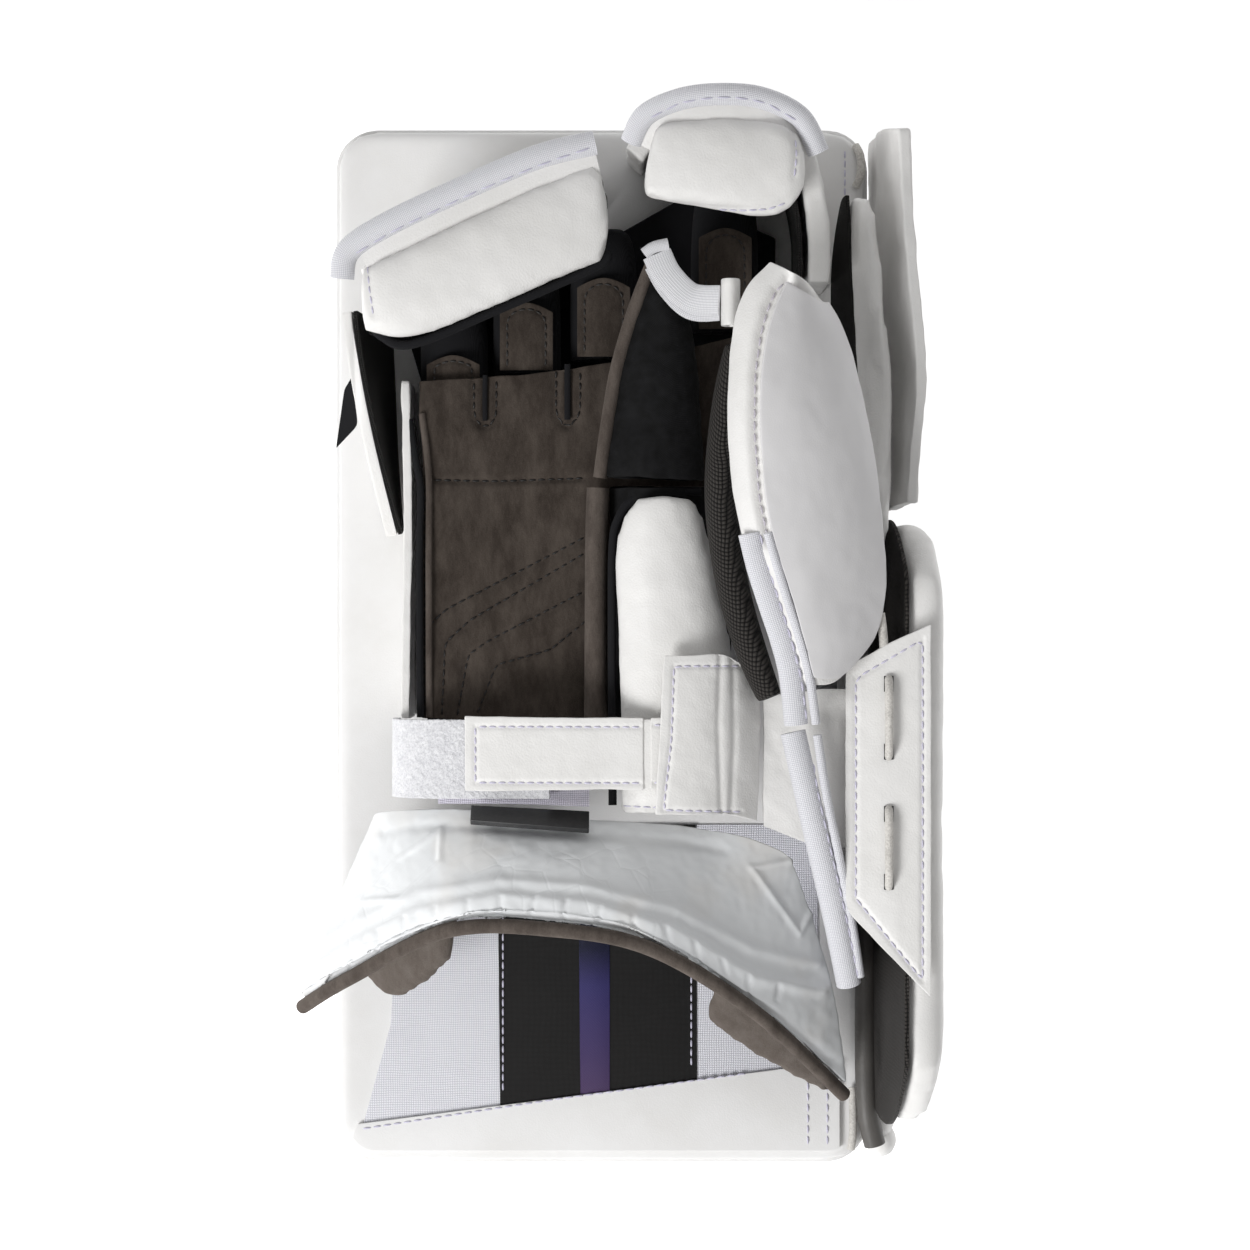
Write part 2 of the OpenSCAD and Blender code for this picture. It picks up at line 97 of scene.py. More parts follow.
def applyModifier(piece, kind, **settings):
    pick(piece)
    modifier = piece.modifiers.new(kind.lower(), kind)
    for key, value in settings.items():
        setattr(modifier, key, value)
    bpy.ops.object.modifier_apply(modifier=modifier.name)


def subdivide(piece, levels):
    if levels:
        applyModifier(piece, "SUBSURF", levels=levels, render_levels=levels)


def smoothShade(piece, angle=math.radians(50)):
    pick(piece)
    bpy.ops.object.shade_smooth_by_angle(angle=angle)


def copyNode(node, name):   # a clean quad mesh of a CAD node
    piece = bpy.data.objects.new(name, frame["nodes"][node].data.copy())
    scene.collection.objects.link(piece)
    piece.data.materials.clear()
    pick(piece)
    bpy.ops.mesh.customdata_custom_splitnormals_clear()
    edit(piece)
    bpy.ops.mesh.select_all(action="SELECT")
    bpy.ops.mesh.remove_doubles(threshold=0.00003)
    bpy.ops.mesh.tris_convert_to_quads(
        face_threshold=math.pi, shape_threshold=math.pi, topology_influence=2)
    bpy.ops.mesh.normals_make_consistent(inside=False)
    bpy.ops.object.mode_set(mode="OBJECT")
    return piece


def creaseRim(piece, crease, angle=50):
    edit(piece, "EDGE")
    bpy.ops.mesh.edges_select_sharp(sharpness=math.radians(angle))
    bpy.ops.transform.edge_crease(value=crease)
    bpy.ops.object.mode_set(mode="OBJECT")


def points(piece):
    flat = np.empty(len(piece.data.vertices) * 3)
    piece.data.vertices.foreach_get("co", flat)
    return flat.reshape(-1, 3)


def normals(piece):
    flat = np.empty(len(piece.data.vertices) * 3)
    piece.data.vertex_normals.foreach_get("vector", flat)
    return flat.reshape(-1, 3)


def setPoints(piece, co):
    piece.data.vertices.foreach_set("co", co.astype(np.float32).ravel())
    piece.data.update()


def rumple(piece, depth, size, power=1.0):   # soft dents, from noise on the piece's own points
    if not depth:
        return
    co, out = points(piece), normals(piece)
    wave = np.array([fractal(Vector(p) / size, 0.8, 2.0, 3) for p in co])
    wave = np.sign(wave) * np.abs(wave) ** power
    setPoints(piece, co + out * (wave * depth)[:, None])


def reach(piece, far):   # lengthens one end along X: the right one, or the left if far is below 0
    co = points(piece)
    side = math.copysign(1, far)
    low, high = co[:, 0].min(), co[:, 0].max()
    co[:, 0] += far * np.clip(side * (co[:, 0] - (low + high) / 2) / ((high - low) / 2), 0, 1)
    setPoints(piece, co)


def at(node, u, v, w=1.0):   # a point given as shares of a CAD node's box
    low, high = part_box(node)
    return Vector(low[i] + share * (high[i] - low[i]) for i, share in enumerate((u, v, w)))


def curveThrough(knots, step):   # evenly spaced points on the smooth curve through the knots
    knots = [Vector(k) for k in knots]
    fine = []
    for i in range(len(knots) - 1):
        a, b, c, d = (knots[min(max(k, 0), len(knots) - 1)] for k in (i - 1, i, i + 1, i + 2))
        for s in range(24):
            t = s / 24
            fine.append(0.5 * (2 * b + (c - a) * t + (2 * a - 5 * b + 4 * c - d) * t * t
                               + (3 * b - a - 3 * c + d) * t ** 3))
    fine.append(knots[-1])
    return evenly(fine, step)


def evenly(line, step):
    line = [Vector(p) for p in line]
    lengths = [0.0]
    for a, b in zip(line, line[1:]):
        lengths.append(lengths[-1] + (b - a).length)
    count = max(2, round(lengths[-1] / step) + 1)
    wanted = np.linspace(0, lengths[-1], count)
    table = np.array([list(p) for p in line])
    return [Vector(np.interp(w, lengths, table[:, i]) for i in range(3)) for w in wanted]


def keep(piece, body, slot, material, nodes=()):   # material, body and record for a finished piece
    piece.data.materials.clear()
    piece.data.materials.append(material)
    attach(piece, body)
    if nodes:
        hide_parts(*nodes)
    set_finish(piece, slot)
    finished[piece.name] = piece
    return piece


# ---- camera and light ----

studio = {
    "centre": (0.0087, 0.0078), "height": 1.628, "lens": 124.5,
    "key": (25, (-0.95, -0.85, 1.15), 0.7), "fill": (3.0, (0.9, 0.5, 1.5), 1.4),
    "rim": (2.0, (-0.1, 1.4, 0.9), 1.2), "sky": 0.30, "floor": (0.93, 0.93, 0.935)}


def makeStudio(look):
    camera = bpy.data.objects.new("camera", bpy.data.cameras.new("camera"))
    scene.collection.objects.link(camera)
    camera.location = (*look["centre"], look["height"])
    camera.data.lens = look["lens"]
    camera.data.clip_start = 0.01
    scene.camera = camera
    for name in ("key", "fill", "rim"):
        power, place, size = look[name]
        lamp = bpy.data.lights.new(name, "AREA")
        lamp.energy = power
        lamp.size = size
        light = bpy.data.objects.new(name, lamp)
        scene.collection.objects.link(light)
        light.location = place
        light.rotation_euler = (-Vector(place)).to_track_quat("-Z", "Y").to_euler()
    scene.world = bpy.data.worlds.new("sky")
    scene.world.use_nodes = True
    scene.world.node_tree.nodes["Background"].inputs["Color"].default_value = (1, 1, 1, 1)
    scene.world.node_tree.nodes["Background"].inputs["Strength"].default_value = look["sky"]
    scene.view_settings.view_transform = "Standard"
    bpy.ops.object.select_all(action="DESELECT")
    bpy.ops.mesh.primitive_plane_add(size=8, location=(0, 0, -0.0006))
    floor = bpy.context.object
    floor.name = "floor"
    material = bpy.data.materials.new("floorPaper")
    material.use_nodes = True
    shader = material.node_tree.nodes["Principled BSDF"]
    shader.inputs["Base Color"].default_value = (*look["floor"], 1)
    shader.inputs["Roughness"].default_value = 0.9
    shader.inputs["Emission Color"].default_value = (1, 1, 1, 1)
    shader.inputs["Emission Strength"].default_value = 0.6
    floor.data.materials.append(material)


makeStudio(studio)
print("studio ready")


# ---- finishes ----

def newFinish(name, settings):
    material = bpy.data.materials.new(name)
    material.use_nodes = True
    shader = material.node_tree.nodes["Principled BSDF"]
    for socket, value in settings.items():
        shader.inputs[socket].default_value = value
    return material.node_tree, shader, material


def node(tree, kind, inputs=(), **settings):
    made = tree.nodes.new(kind)
    for key, value in settings.items():
        setattr(made, key, value)
    for socket, value in dict(inputs).items():
        if isinstance(value, bpy.types.NodeSocket):
            tree.links.new(value, made.inputs[socket])
        else:
            made.inputs[socket].default_value = value
    return made


def coordinates(tree, scale=(1, 1, 1), turn=(0, 0, 0), own="Object"):
    source = node(tree, "ShaderNodeTexCoord").outputs[own]
    mapping = node(tree, "ShaderNodeMapping", {"Vector": source, "Scale": scale, "Rotation": turn})
    return mapping.outputs["Vector"]


def noise(tree, where, scale, detail=3.0, roughness=0.55, kind="FBM"):
    made = node(tree, "ShaderNodeTexNoise",
                {"Vector": where, "Scale": scale, "Detail": detail, "Roughness": roughness},
                noise_type=kind)
    return made.outputs["Fac"]


def ramp(tree, value, stops):
    made = node(tree, "ShaderNodeValToRGB", {"Fac": value})
    while len(made.color_ramp.elements) < len(stops):
        made.color_ramp.elements.new(0.5)
    for element, (place, colour) in zip(made.color_ramp.elements, stops):
        element.position = place
        element.color = (*colour, 1) if len(colour) == 3 else colour
    return made.outputs["Color"]


def between(tree, value, low, high):
    made = node(tree, "ShaderNodeMapRange", {"Value": value, "To Min": low, "To Max": high})
    return made.outputs["Result"]


def sums(tree, operation, a, b=0.0):
    made = node(tree, "ShaderNodeMath", {0: a, 1: b}, operation=operation)
    return made.outputs[0]


def bump(tree, height, distance, strength=1.0, under=None):
    inputs = {"Height": height, "Distance": distance, "Strength": strength}
    if under:
        inputs["Normal"] = under
    return node(tree, "ShaderNodeBump", inputs).outputs["Normal"]


def stripes(tree, where, direction, pitch):   # a wave from -1 to 1 along a direction
    along = node(tree, "ShaderNodeVectorMath", {0: where, 1: direction}, operation="DOT_PRODUCT")
    return sums(tree, "SINE", sums(tree, "MULTIPLY", along.outputs["Value"], 2 * math.pi / pitch))


def weave(tree, where, pitch, own="Object"):   # threads over and under, on any face
    if own == "UV":
        a = stripes(tree, where, (1, 0, 0), pitch)
        b = stripes(tree, where, (0, 1, 0), pitch)
    else:
        a = stripes(tree, where, (1, 0, 0.87), pitch)
        b = stripes(tree, where, (0, 1, 1.13), pitch)
    return sums(tree, "MULTIPLY", a, b)


def mixed(tree, factor, a, b):
    made = node(tree, "ShaderNodeMix", {0: factor, 6: (*a, 1), 7: (*b, 1)}, data_type="RGBA")
    return made.outputs[2]


leathers = {
    "whiteLeather": {"tone": (0.80, 0.79, 0.775), "worn": (0.72, 0.71, 0.69), "grain": 1500,
                     "depth": 0.00011, "rough": (0.40, 0.56), "folds": 0.0010},
    "boardLeather": {"tone": (0.82, 0.815, 0.81), "worn": (0.76, 0.75, 0.735), "grain": 1700,
                     "depth": 0.00005, "rough": (0.42, 0.55), "folds": 0.0006},
    # the thumb guard panel is the white leather in a greyer tone: painted shade on the face turned away from the
    # light
    "guardPanelShadedLeather": {"tone": (0.70, 0.69, 0.695), "worn": (0.64, 0.63, 0.635), "grain": 2100,
                          "depth": 0.00004, "rough": (0.38, 0.5), "folds": 0.0005},
    "greyLeather": {"tone": (0.085, 0.08, 0.075), "worn": (0.13, 0.12, 0.11), "grain": 1500,
                    "depth": 0.00008, "rough": (0.42, 0.6), "folds": 0.0005}}


def leatherFinish(name, look):
    tree, shader, material = newFinish(name, {"Specular IOR Level": 0.42, "Coat Weight": 0.04,
                                              "Coat Roughness": 0.35})
    where = coordinates(tree)
    cells = node(tree, "ShaderNodeTexVoronoi",
                 {"Vector": where, "Scale": look["grain"], "Randomness": 0.95},
                 feature="SMOOTH_F1")
    pores = noise(tree, where, look["grain"] * 2.1, 2)
    folds = noise(tree, where, 28, 4, 0.5)
    veins = ramp(tree, noise(tree, coordinates(tree, (1, 0.45, 1)), 95, 3, 0.6, "RIDGED_MULTIFRACTAL"),
                 [(0.55, (0, 0, 0)), (0.95, (1, 1, 1))])
    normal = bump(tree, folds, look["folds"], 0.6)
    normal = bump(tree, veins, look["depth"] * 0.8, 0.5, normal)
    normal = bump(tree, cells.outputs["Distance"], look["depth"], 0.8, normal)
    normal = bump(tree, pores, look["depth"] * 0.5, 0.6, normal)
    tree.links.new(normal, shader.inputs["Normal"])
    patches = ramp(tree, noise(tree, where, 22, 5, 0.6), [(0.42, (0, 0, 0)), (0.75, (1, 1, 1))])
    tree.links.new(mixed(tree, patches, look["tone"], look["worn"]), shader.inputs["Base Color"])
    tree.links.new(between(tree, noise(tree, where, 160, 4), *look["rough"]), shader.inputs["Roughness"])
    return material


# the crease colour of the moulded cover is painted shade in its creases
mouldedLook = {"tone": (0.785, 0.80, 0.81), "creaseShade": (0.68, 0.70, 0.715), "warm": (0.80, 0.775, 0.74),
               "creases": 0.0007, "grain": 0.00005, "rough": (0.26, 0.42)}


def mouldedFinish(name, look):
    tree, shader, material = newFinish(name, {"Specular IOR Level": 0.5, "Coat Weight": 0.15,
                                              "Coat Roughness": 0.25})
    where = coordinates(tree)
    slow = coordinates(tree, (1, 0.35, 0.7), (0, 0, 0.25))
    creases = ramp(tree, noise(tree, slow, 70, 4, 0.62, "RIDGED_MULTIFRACTAL"),
                   [(0.6, (0, 0, 0)), (1.0, (1, 1, 1))])
    cracks = node(tree, "ShaderNodeTexVoronoi", {"Vector": where, "Scale": 95, "Randomness": 1.0},
                  feature="DISTANCE_TO_EDGE")
    crackLines = ramp(tree, cracks.outputs["Distance"], [(0.0, (0, 0, 0)), (0.07, (1, 1, 1))])
    patches = ramp(tree, noise(tree, where, 16, 2), [(0.48, (0, 0, 0)), (0.62, (1, 1, 1))])
    cracked = node(tree, "ShaderNodeMix", {0: patches, 6: (1, 1, 1, 1), 7: crackLines}, data_type="RGBA")
    normal = bump(tree, creases, look["creases"], 0.5)
    normal = bump(tree, cracked.outputs[2], 0.00018, 0.4, normal)
    normal = bump(tree, noise(tree, where, 1900, 2), look["grain"], 0.5, normal)
    tree.links.new(normal, shader.inputs["Normal"])
    warmth = ramp(tree, noise(tree, where, 26, 3), [(0.55, (0, 0, 0)), (0.8, (1, 1, 1))])
    tone = mixed(tree, warmth, look["tone"], look["warm"])
    # the tone darkens along the creases: painted shade in the creases
    final = node(tree, "ShaderNodeMix", {0: creases, 6: tone, 7: (*look["creaseShade"], 1)}, data_type="RGBA")
    tree.links.new(final.outputs[2], shader.inputs["Base Color"])
    tree.links.new(between(tree, noise(tree, where, 120, 3), *look["rough"]), shader.inputs["Roughness"])
    return material


suedes = {
    "palmSuede": {"tone": (0.034, 0.026, 0.021), "pale": (0.074, 0.060, 0.050), "nap": 0.00022},
    "edgeSuede": {"tone": (0.060, 0.048, 0.041), "pale": (0.115, 0.096, 0.083), "nap": 0.0003},
    "liningSuede": {"tone": (0.095, 0.079, 0.068), "pale": (0.140, 0.120, 0.106), "nap": 0.00035}}


def suedeFinish(name, look):
    tree, shader, material = newFinish(name, {"Roughness": 0.95, "Specular IOR Level": 0.15,
                                              "Sheen Weight": 0.10, "Sheen Roughness": 0.6,
                                              "Sheen Tint": (0.8, 0.7, 0.62, 1)})
    where = coordinates(tree)
    brushed = noise(tree, coordinates(tree, (1, 0.4, 1), (0, 0, 0.6)), 130, 6, 0.7)
    speckle = noise(tree, where, 2600, 3, 0.7)
    blend = sums(tree, "ADD", sums(tree, "MULTIPLY", brushed, 0.75), sums(tree, "MULTIPLY", speckle, 0.25))
    tone = ramp(tree, blend, [(0.40, look["tone"]), (0.62, look["pale"])])
    tree.links.new(tone, shader.inputs["Base Color"])
    normal = bump(tree, noise(tree, where, 1500, 4, 0.7), look["nap"], 0.8)
    normal = bump(tree, brushed, 0.0006, 0.4, normal)
    tree.links.new(normal, shader.inputs["Normal"])
    return material


weaves = {
    "whiteWeave": {"own": "Object", "pitch": 0.0017, "tones": ((0.60, 0.60, 0.66), (0.84, 0.84, 0.88)),
                   "depth": 0.00025, "rough": 0.62, "sheen": 0.2},
    "webbing": {"own": "UV", "pitch": 0.0013, "tones": ((0.58, 0.58, 0.63), (0.85, 0.85, 0.88)),
                "depth": 0.0002, "rough": 0.55, "sheen": 0.25},
    "elasticWeave": {"own": "UV", "pitch": 0.0011, "tones": ((0.60, 0.60, 0.63), (0.84, 0.84, 0.86)),
                     "depth": 0.0002, "rough": 0.7, "sheen": 0.25},
    "wristWeave": {"own": "Object", "pitch": 0.0015, "tones": ((0.44, 0.42, 0.50), (0.74, 0.71, 0.80)),
                   "depth": 0.0002, "rough": 0.65, "sheen": 0.2},
    "blackWeave": {"own": "Object", "pitch": 0.0009,
                   "tones": ((0.006, 0.006, 0.006), (0.024, 0.023, 0.023)),
                   "depth": 0.00012, "rough": 0.72, "sheen": 0.02, "shine": 0.14},
    "blackMesh": {"own": "Object", "pitch": 0.0030, "tones": ((0.002, 0.002, 0.002), (0.055, 0.050, 0.046)),
                  "depth": 0.0006, "rough": 0.6, "sheen": 0.03, "shine": 0.14},
    "fineBlackMesh": {"own": "Object", "pitch": 0.0018,
                      "tones": ((0.002, 0.002, 0.002), (0.022, 0.021, 0.020)),
                      "depth": 0.0004, "rough": 0.65, "sheen": 0.02, "shine": 0.12},
    "blackCloth": {"own": "Object", "pitch": 0.0007,
                   "tones": ((0.006, 0.006, 0.007), (0.018, 0.018, 0.020)),
                   "depth": 0.00008, "rough": 0.8, "sheen": 0.02, "shine": 0.1}}


def weaveFinish(name, look):
    tree, shader, material = newFinish(name, {"Roughness": look["rough"], "Sheen Weight": look["sheen"],
                                              "Specular IOR Level": look.get("shine", 0.3)})
    where = coordinates(tree, own=look["own"])
    wobble = node(tree, "ShaderNodeTexNoise", {"Vector": where, "Scale": 60, "Detail": 2.0})
    shifted = node(tree, "ShaderNodeVectorMath",
                   {0: wobble.outputs["Color"], 1: (look["pitch"] * 0.7,) * 3, 2: where},
                   operation="MULTIPLY_ADD")
    threads = sums(tree, "ABSOLUTE", weave(tree, shifted.outputs["Vector"], look["pitch"], look["own"]))
    tired = noise(tree, where, 900, 2)
    height = sums(tree, "ADD", sums(tree, "POWER", threads, 0.6), sums(tree, "MULTIPLY", tired, 0.25))
    tree.links.new(bump(tree, height, look["depth"], 0.8), shader.inputs["Normal"])
    shade = sums(tree, "MULTIPLY", sums(tree, "POWER", threads, 0.5),
                 between(tree, noise(tree, where, 40, 4), 0.75, 1.15))
    tree.links.new(ramp(tree, shade, [(0.15, look["tones"][0]), (0.85, look["tones"][1])]),
                   shader.inputs["Base Color"])
    return material


def neopreneFinish(name):
    tree, shader, material = newFinish(name, {"Specular IOR Level": 0.12, "Sheen Weight": 0.03,
                                              "Sheen Roughness": 0.5})
    where = coordinates(tree)
    knit = weave(tree, where, 0.0008)
    normal = bump(tree, noise(tree, where, 45, 3), 0.0012, 0.5)
    normal = bump(tree, knit, 0.00005, 0.7, normal)
    tree.links.new(normal, shader.inputs["Normal"])
    tone = ramp(tree, noise(tree, where, 240, 4),
                [(0.3, (0.003, 0.003, 0.003)), (0.75, (0.009, 0.009, 0.010))])
    tree.links.new(tone, shader.inputs["Base Color"])
    tree.links.new(between(tree, noise(tree, where, 90, 2), 0.62, 0.78), shader.inputs["Roughness"])
    return material


def loopFinish(name):   # the brushed loops of hook and loop tape
    tree, shader, material = newFinish(name, {"Roughness": 0.95, "Sheen Weight": 0.5,
                                              "Sheen Roughness": 0.5, "Specular IOR Level": 0.1})
    where = coordinates(tree)
    fuzz = noise(tree, where, 1300, 5, 0.75)
    clumps = noise(tree, where, 330, 4, 0.7)
    normal = bump(tree, clumps, 0.0009, 0.7)
    tree.links.new(bump(tree, fuzz, 0.0005, 0.9, normal), shader.inputs["Normal"])
    tree.links.new(ramp(tree, sums(tree, "MULTIPLY", fuzz, sums(tree, "ADD", clumps, 0.5)),
                        [(0.25, (0.55, 0.55, 0.585)), (0.62, (0.86, 0.86, 0.88))]),
                   shader.inputs["Base Color"])
    return material


def stripeFinish(name):   # shot cloth that runs from navy to purple down its length
    low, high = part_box("colour_stripe")
    tree, shader, material = newFinish(name, {"Roughness": 0.40, "Metallic": 0.25,
                                              "Specular IOR Level": 0.3})
    where = coordinates(tree)
    length = node(tree, "ShaderNodeSeparateXYZ", {0: where}).outputs["Y"]
    share = node(tree, "ShaderNodeMapRange",
                 {"Value": length, "From Min": high.y - 0.02, "From Max": low.y}).outputs["Result"]
    grainy = sums(tree, "ADD", share, between(tree, noise(tree, where, 2200, 2), -0.05, 0.05))
    tone = ramp(tree, grainy, [(0.0, (0.002, 0.003, 0.008)), (0.32, (0.004, 0.005, 0.024)),
                               (0.5, (0.030, 0.025, 0.115)), (0.78, (0.042, 0.026, 0.100)),
                               (1.0, (0.058, 0.032, 0.092))])
    tree.links.new(tone, shader.inputs["Base Color"])
    tree.links.new(bump(tree, weave(tree, where, 0.0006), 0.00006, 0.8), shader.inputs["Normal"])
    return material


plains = {
    "whiteThread": {"tones": ((0.50, 0.48, 0.60), (0.70, 0.68, 0.80)), "scale": 2500, "depth": 0.0001,
                    "settings": {"Roughness": 0.5, "Sheen Weight": 0.2}},
    "seamThread": {"tones": ((0.42, 0.39, 0.44), (0.62, 0.59, 0.66)), "scale": 2500, "depth": 0.0001,
                   "settings": {"Roughness": 0.5, "Sheen Weight": 0.2}},
    "darkThread": {"tones": ((0.010, 0.009, 0.008), (0.028, 0.024, 0.022)), "scale": 2500, "depth": 0.0001,
                   "settings": {"Roughness": 0.6, "Sheen Weight": 0.1}},
    "palmThread": {"tones": ((0.004, 0.003, 0.003), (0.012, 0.010, 0.009)), "scale": 2500, "depth": 0.0001,
                   "settings": {"Roughness": 0.5, "Specular IOR Level": 0.5}},
    "ivoryLace": {"tones": ((0.46, 0.44, 0.41), (0.80, 0.775, 0.73)), "scale": 1400, "depth": 0.0003,
                  "settings": {"Roughness": 0.7, "Sheen Weight": 0.3}},
    "blackRubber": {"tones": ((0.008, 0.008, 0.009), (0.020, 0.020, 0.021)), "scale": 700, "depth": 0.0001,
                    "settings": {"Roughness": 0.42, "Specular IOR Level": 0.5}},
    "foam": {"tones": ((0.40, 0.40, 0.42), (0.58, 0.58, 0.60)), "scale": 1500, "depth": 0.0004,
             "settings": {"Roughness": 0.95, "Sheen Weight": 0.1}},
    "stiffSheet": {"tones": ((0.05, 0.05, 0.055), (0.09, 0.09, 0.095)), "scale": 500, "depth": 0.00005,
                   "settings": {"Roughness": 0.4, "Specular IOR Level": 0.5}},
    "hookTape": {"tones": ((0.006, 0.006, 0.006), (0.045, 0.045, 0.048)), "scale": 1300, "depth": 0.0007,
                 "settings": {"Roughness": 0.6, "Sheen Weight": 0.2}}}


def plainFinish(name, look):
    tree, shader, material = newFinish(name, look["settings"])
    where = coordinates(tree)
    speckle = noise(tree, where, look["scale"], 4, 0.65)
    broad = noise(tree, where, look["scale"] / 12, 3)
    both = sums(tree, "ADD", sums(tree, "MULTIPLY", speckle, 0.6), sums(tree, "MULTIPLY", broad, 0.4))
    tone = ramp(tree, both, [(0.36, look["tones"][0]), (0.64, look["tones"][1])])
    tree.links.new(tone, shader.inputs["Base Color"])
    tree.links.new(bump(tree, speckle, look["depth"], 0.7), shader.inputs["Normal"])
    return material


finishes = {name: leatherFinish(name, look) for name, look in leathers.items()}
finishes.update({name: suedeFinish(name, look) for name, look in suedes.items()})
finishes.update({name: weaveFinish(name, look) for name, look in weaves.items()})
finishes.update({name: plainFinish(name, look) for name, look in plains.items()})
finishes["mouldedCover"] = mouldedFinish("mouldedCover", mouldedLook)
finishes["neoprene"] = neopreneFinish("neoprene")
finishes["loopPile"] = loopFinish("loopPile")
finishes["stripeCloth"] = stripeFinish("stripeCloth")
print("finishes ready:", len(finishes))


# ---- tubes that follow a curve ----

def sweep(name, knots, width, height, sides=16, step=0.0015, flatten=1.0, up=(0, 0, 1)):
    # a closed tube along a smooth curve, with a UV map in metres that follows it
    line = curveThrough(knots, step)
    mesh = bpy.data.meshes.new(name)
    verts, faces, uvs = [], [], []
    gone = 0.0
    rings = []
    for i, p in enumerate(line):
        gone += (p - line[i - 1]).length if i else 0
        rings.append(gone)
        way = (line[min(i + 1, len(line) - 1)] - line[max(i - 1, 0)]).normalized()
        side = Vector(up).cross(way).normalized()
        top = way.cross(side)
        for k in range(sides):
            turn = 2 * math.pi * k / sides
            c, s = math.cos(turn), math.sin(turn)
            c, s = (math.copysign(abs(v) ** flatten, v) for v in (c, s))
            verts.append(p + side * (c * width / 2) + top * (s * height / 2))
    around = math.pi * (width + height) / 2
    for i in range(len(line) - 1):
        for k in range(sides):
            a, b = i * sides + k, i * sides + (k + 1) % sides
            faces.append((a, a + sides, b + sides, b))
            u0, u1 = around * k / sides, around * (k + 1) / sides
            uvs += [(u0, rings[i]), (u0, rings[i + 1]), (u1, rings[i + 1]), (u1, rings[i])]
    for first in (0, (len(line) - 1) * sides):
        ring = list(range(first, first + sides))
        end = len(verts)
        verts.append(sum((verts[k] for k in ring), Vector()) / sides)
        for k in range(sides):
            a, b = ring[k], ring[(k + 1) % sides]
            faces.append((a, b, end) if first == 0 else (b, a, end))
            uvs += [(0, rings[-1] if first else 0)] * 3
    mesh.from_pydata([tuple(v) for v in verts], [], faces)
    mesh.uv_layers.new(name="along").data.foreach_set("uv", [x for uv in uvs for x in uv])
    piece = bpy.data.objects.new(name, mesh)
    scene.collection.objects.link(piece)
    edit(piece)
    bpy.ops.mesh.select_all(action="SELECT")
    bpy.ops.mesh.normals_make_consistent(inside=False)
    bpy.ops.object.mode_set(mode="OBJECT")
    smoothShade(piece)
    return piece


# ---- board ----

board = {"corner": 0.014, "rim": 0.0028, "weltRadius": 0.0011}


def roundedBlock(name, node, corner):
    low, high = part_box(node)
    bpy.ops.object.select_all(action="DESELECT")
    bpy.ops.mesh.primitive_cube_add(size=1, location=(low + high) / 2)
    piece = bpy.context.object
    piece.name = name
    piece.scale = high - low
    bpy.ops.object.transform_apply(location=True, rotation=True, scale=True)
    edit(piece, "EDGE")
    chooseEdges(piece, lambda e: abs((e.verts[0].co - e.verts[1].co).normalized().z) > 0.9)
    bpy.ops.mesh.bevel(offset=corner, segments=8, affect="EDGES")
    bpy.ops.object.mode_set(mode="OBJECT")
    return piece


def makeBackCover(look):
    piece = roundedBlock("backCover", "back_skin", look["corner"])
    edit(piece, "FACE")
    chooseFaces(piece, lambda f: f.normal.z > 0.9)
    bpy.ops.mesh.inset(thickness=0.004)
    bpy.ops.mesh.inset(thickness=0.010)
    bpy.ops.transform.translate(value=(0, 0, -0.0002))
    bpy.ops.object.mode_set(mode="OBJECT")
    applyModifier(piece, "BEVEL", width=look["rim"], segments=4, limit_method="ANGLE")
    applyModifier(piece, "REMESH", mode="VOXEL", voxel_size=0.0017)
    applyModifier(piece, "SMOOTH", iterations=6, factor=0.5)
    smoothShade(piece, math.radians(80))
    return keep(piece, "board", "white_leather", finishes["boardLeather"], ["back_skin"])


def makeFaceCover(look):   # the blocking face, left plain
    piece = roundedBlock("faceCover", "face_skin", look["corner"])
    applyModifier(piece, "REMESH", mode="VOXEL", voxel_size=0.0018)
    applyModifier(piece, "SMOOTH", iterations=9, factor=0.5)
    smoothShade(piece, math.radians(80))
    return keep(piece, "board", "white_leather", finishes["boardLeather"], ["face_skin"])


def makeWelt(look):   # the piped seam between the back and the blocking face
    low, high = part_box("back_skin")
    corner = look["corner"]
    knots = []
    corners = ((high.x, high.y, 0), (low.x, high.y, 90), (low.x, low.y, 180), (high.x, low.y, 270))
    for x, y, first in corners:
        centre = Vector((x - math.copysign(corner, x), y - math.copysign(corner, y), low.z))
        for turn in range(first, first + 91, 15):
            angle = math.radians(turn)
            knots.append(centre + Vector((math.cos(angle), math.sin(angle), 0)) * corner)
    knots.append(knots[0].copy())
    across = 2 * look["weltRadius"]
    welt = sweep("boardWelt", evenly(knots, 0.003), across, across, sides=8, step=0.003)
    return keep(welt, "board", "white_leather", finishes["boardLeather"])


makeBackCover(board)
makeFaceCover(board)
makeWelt(board)
print("board ready")


# ---- leather, cloth and suede layers: each from its CAD shape, rounded and refined ----

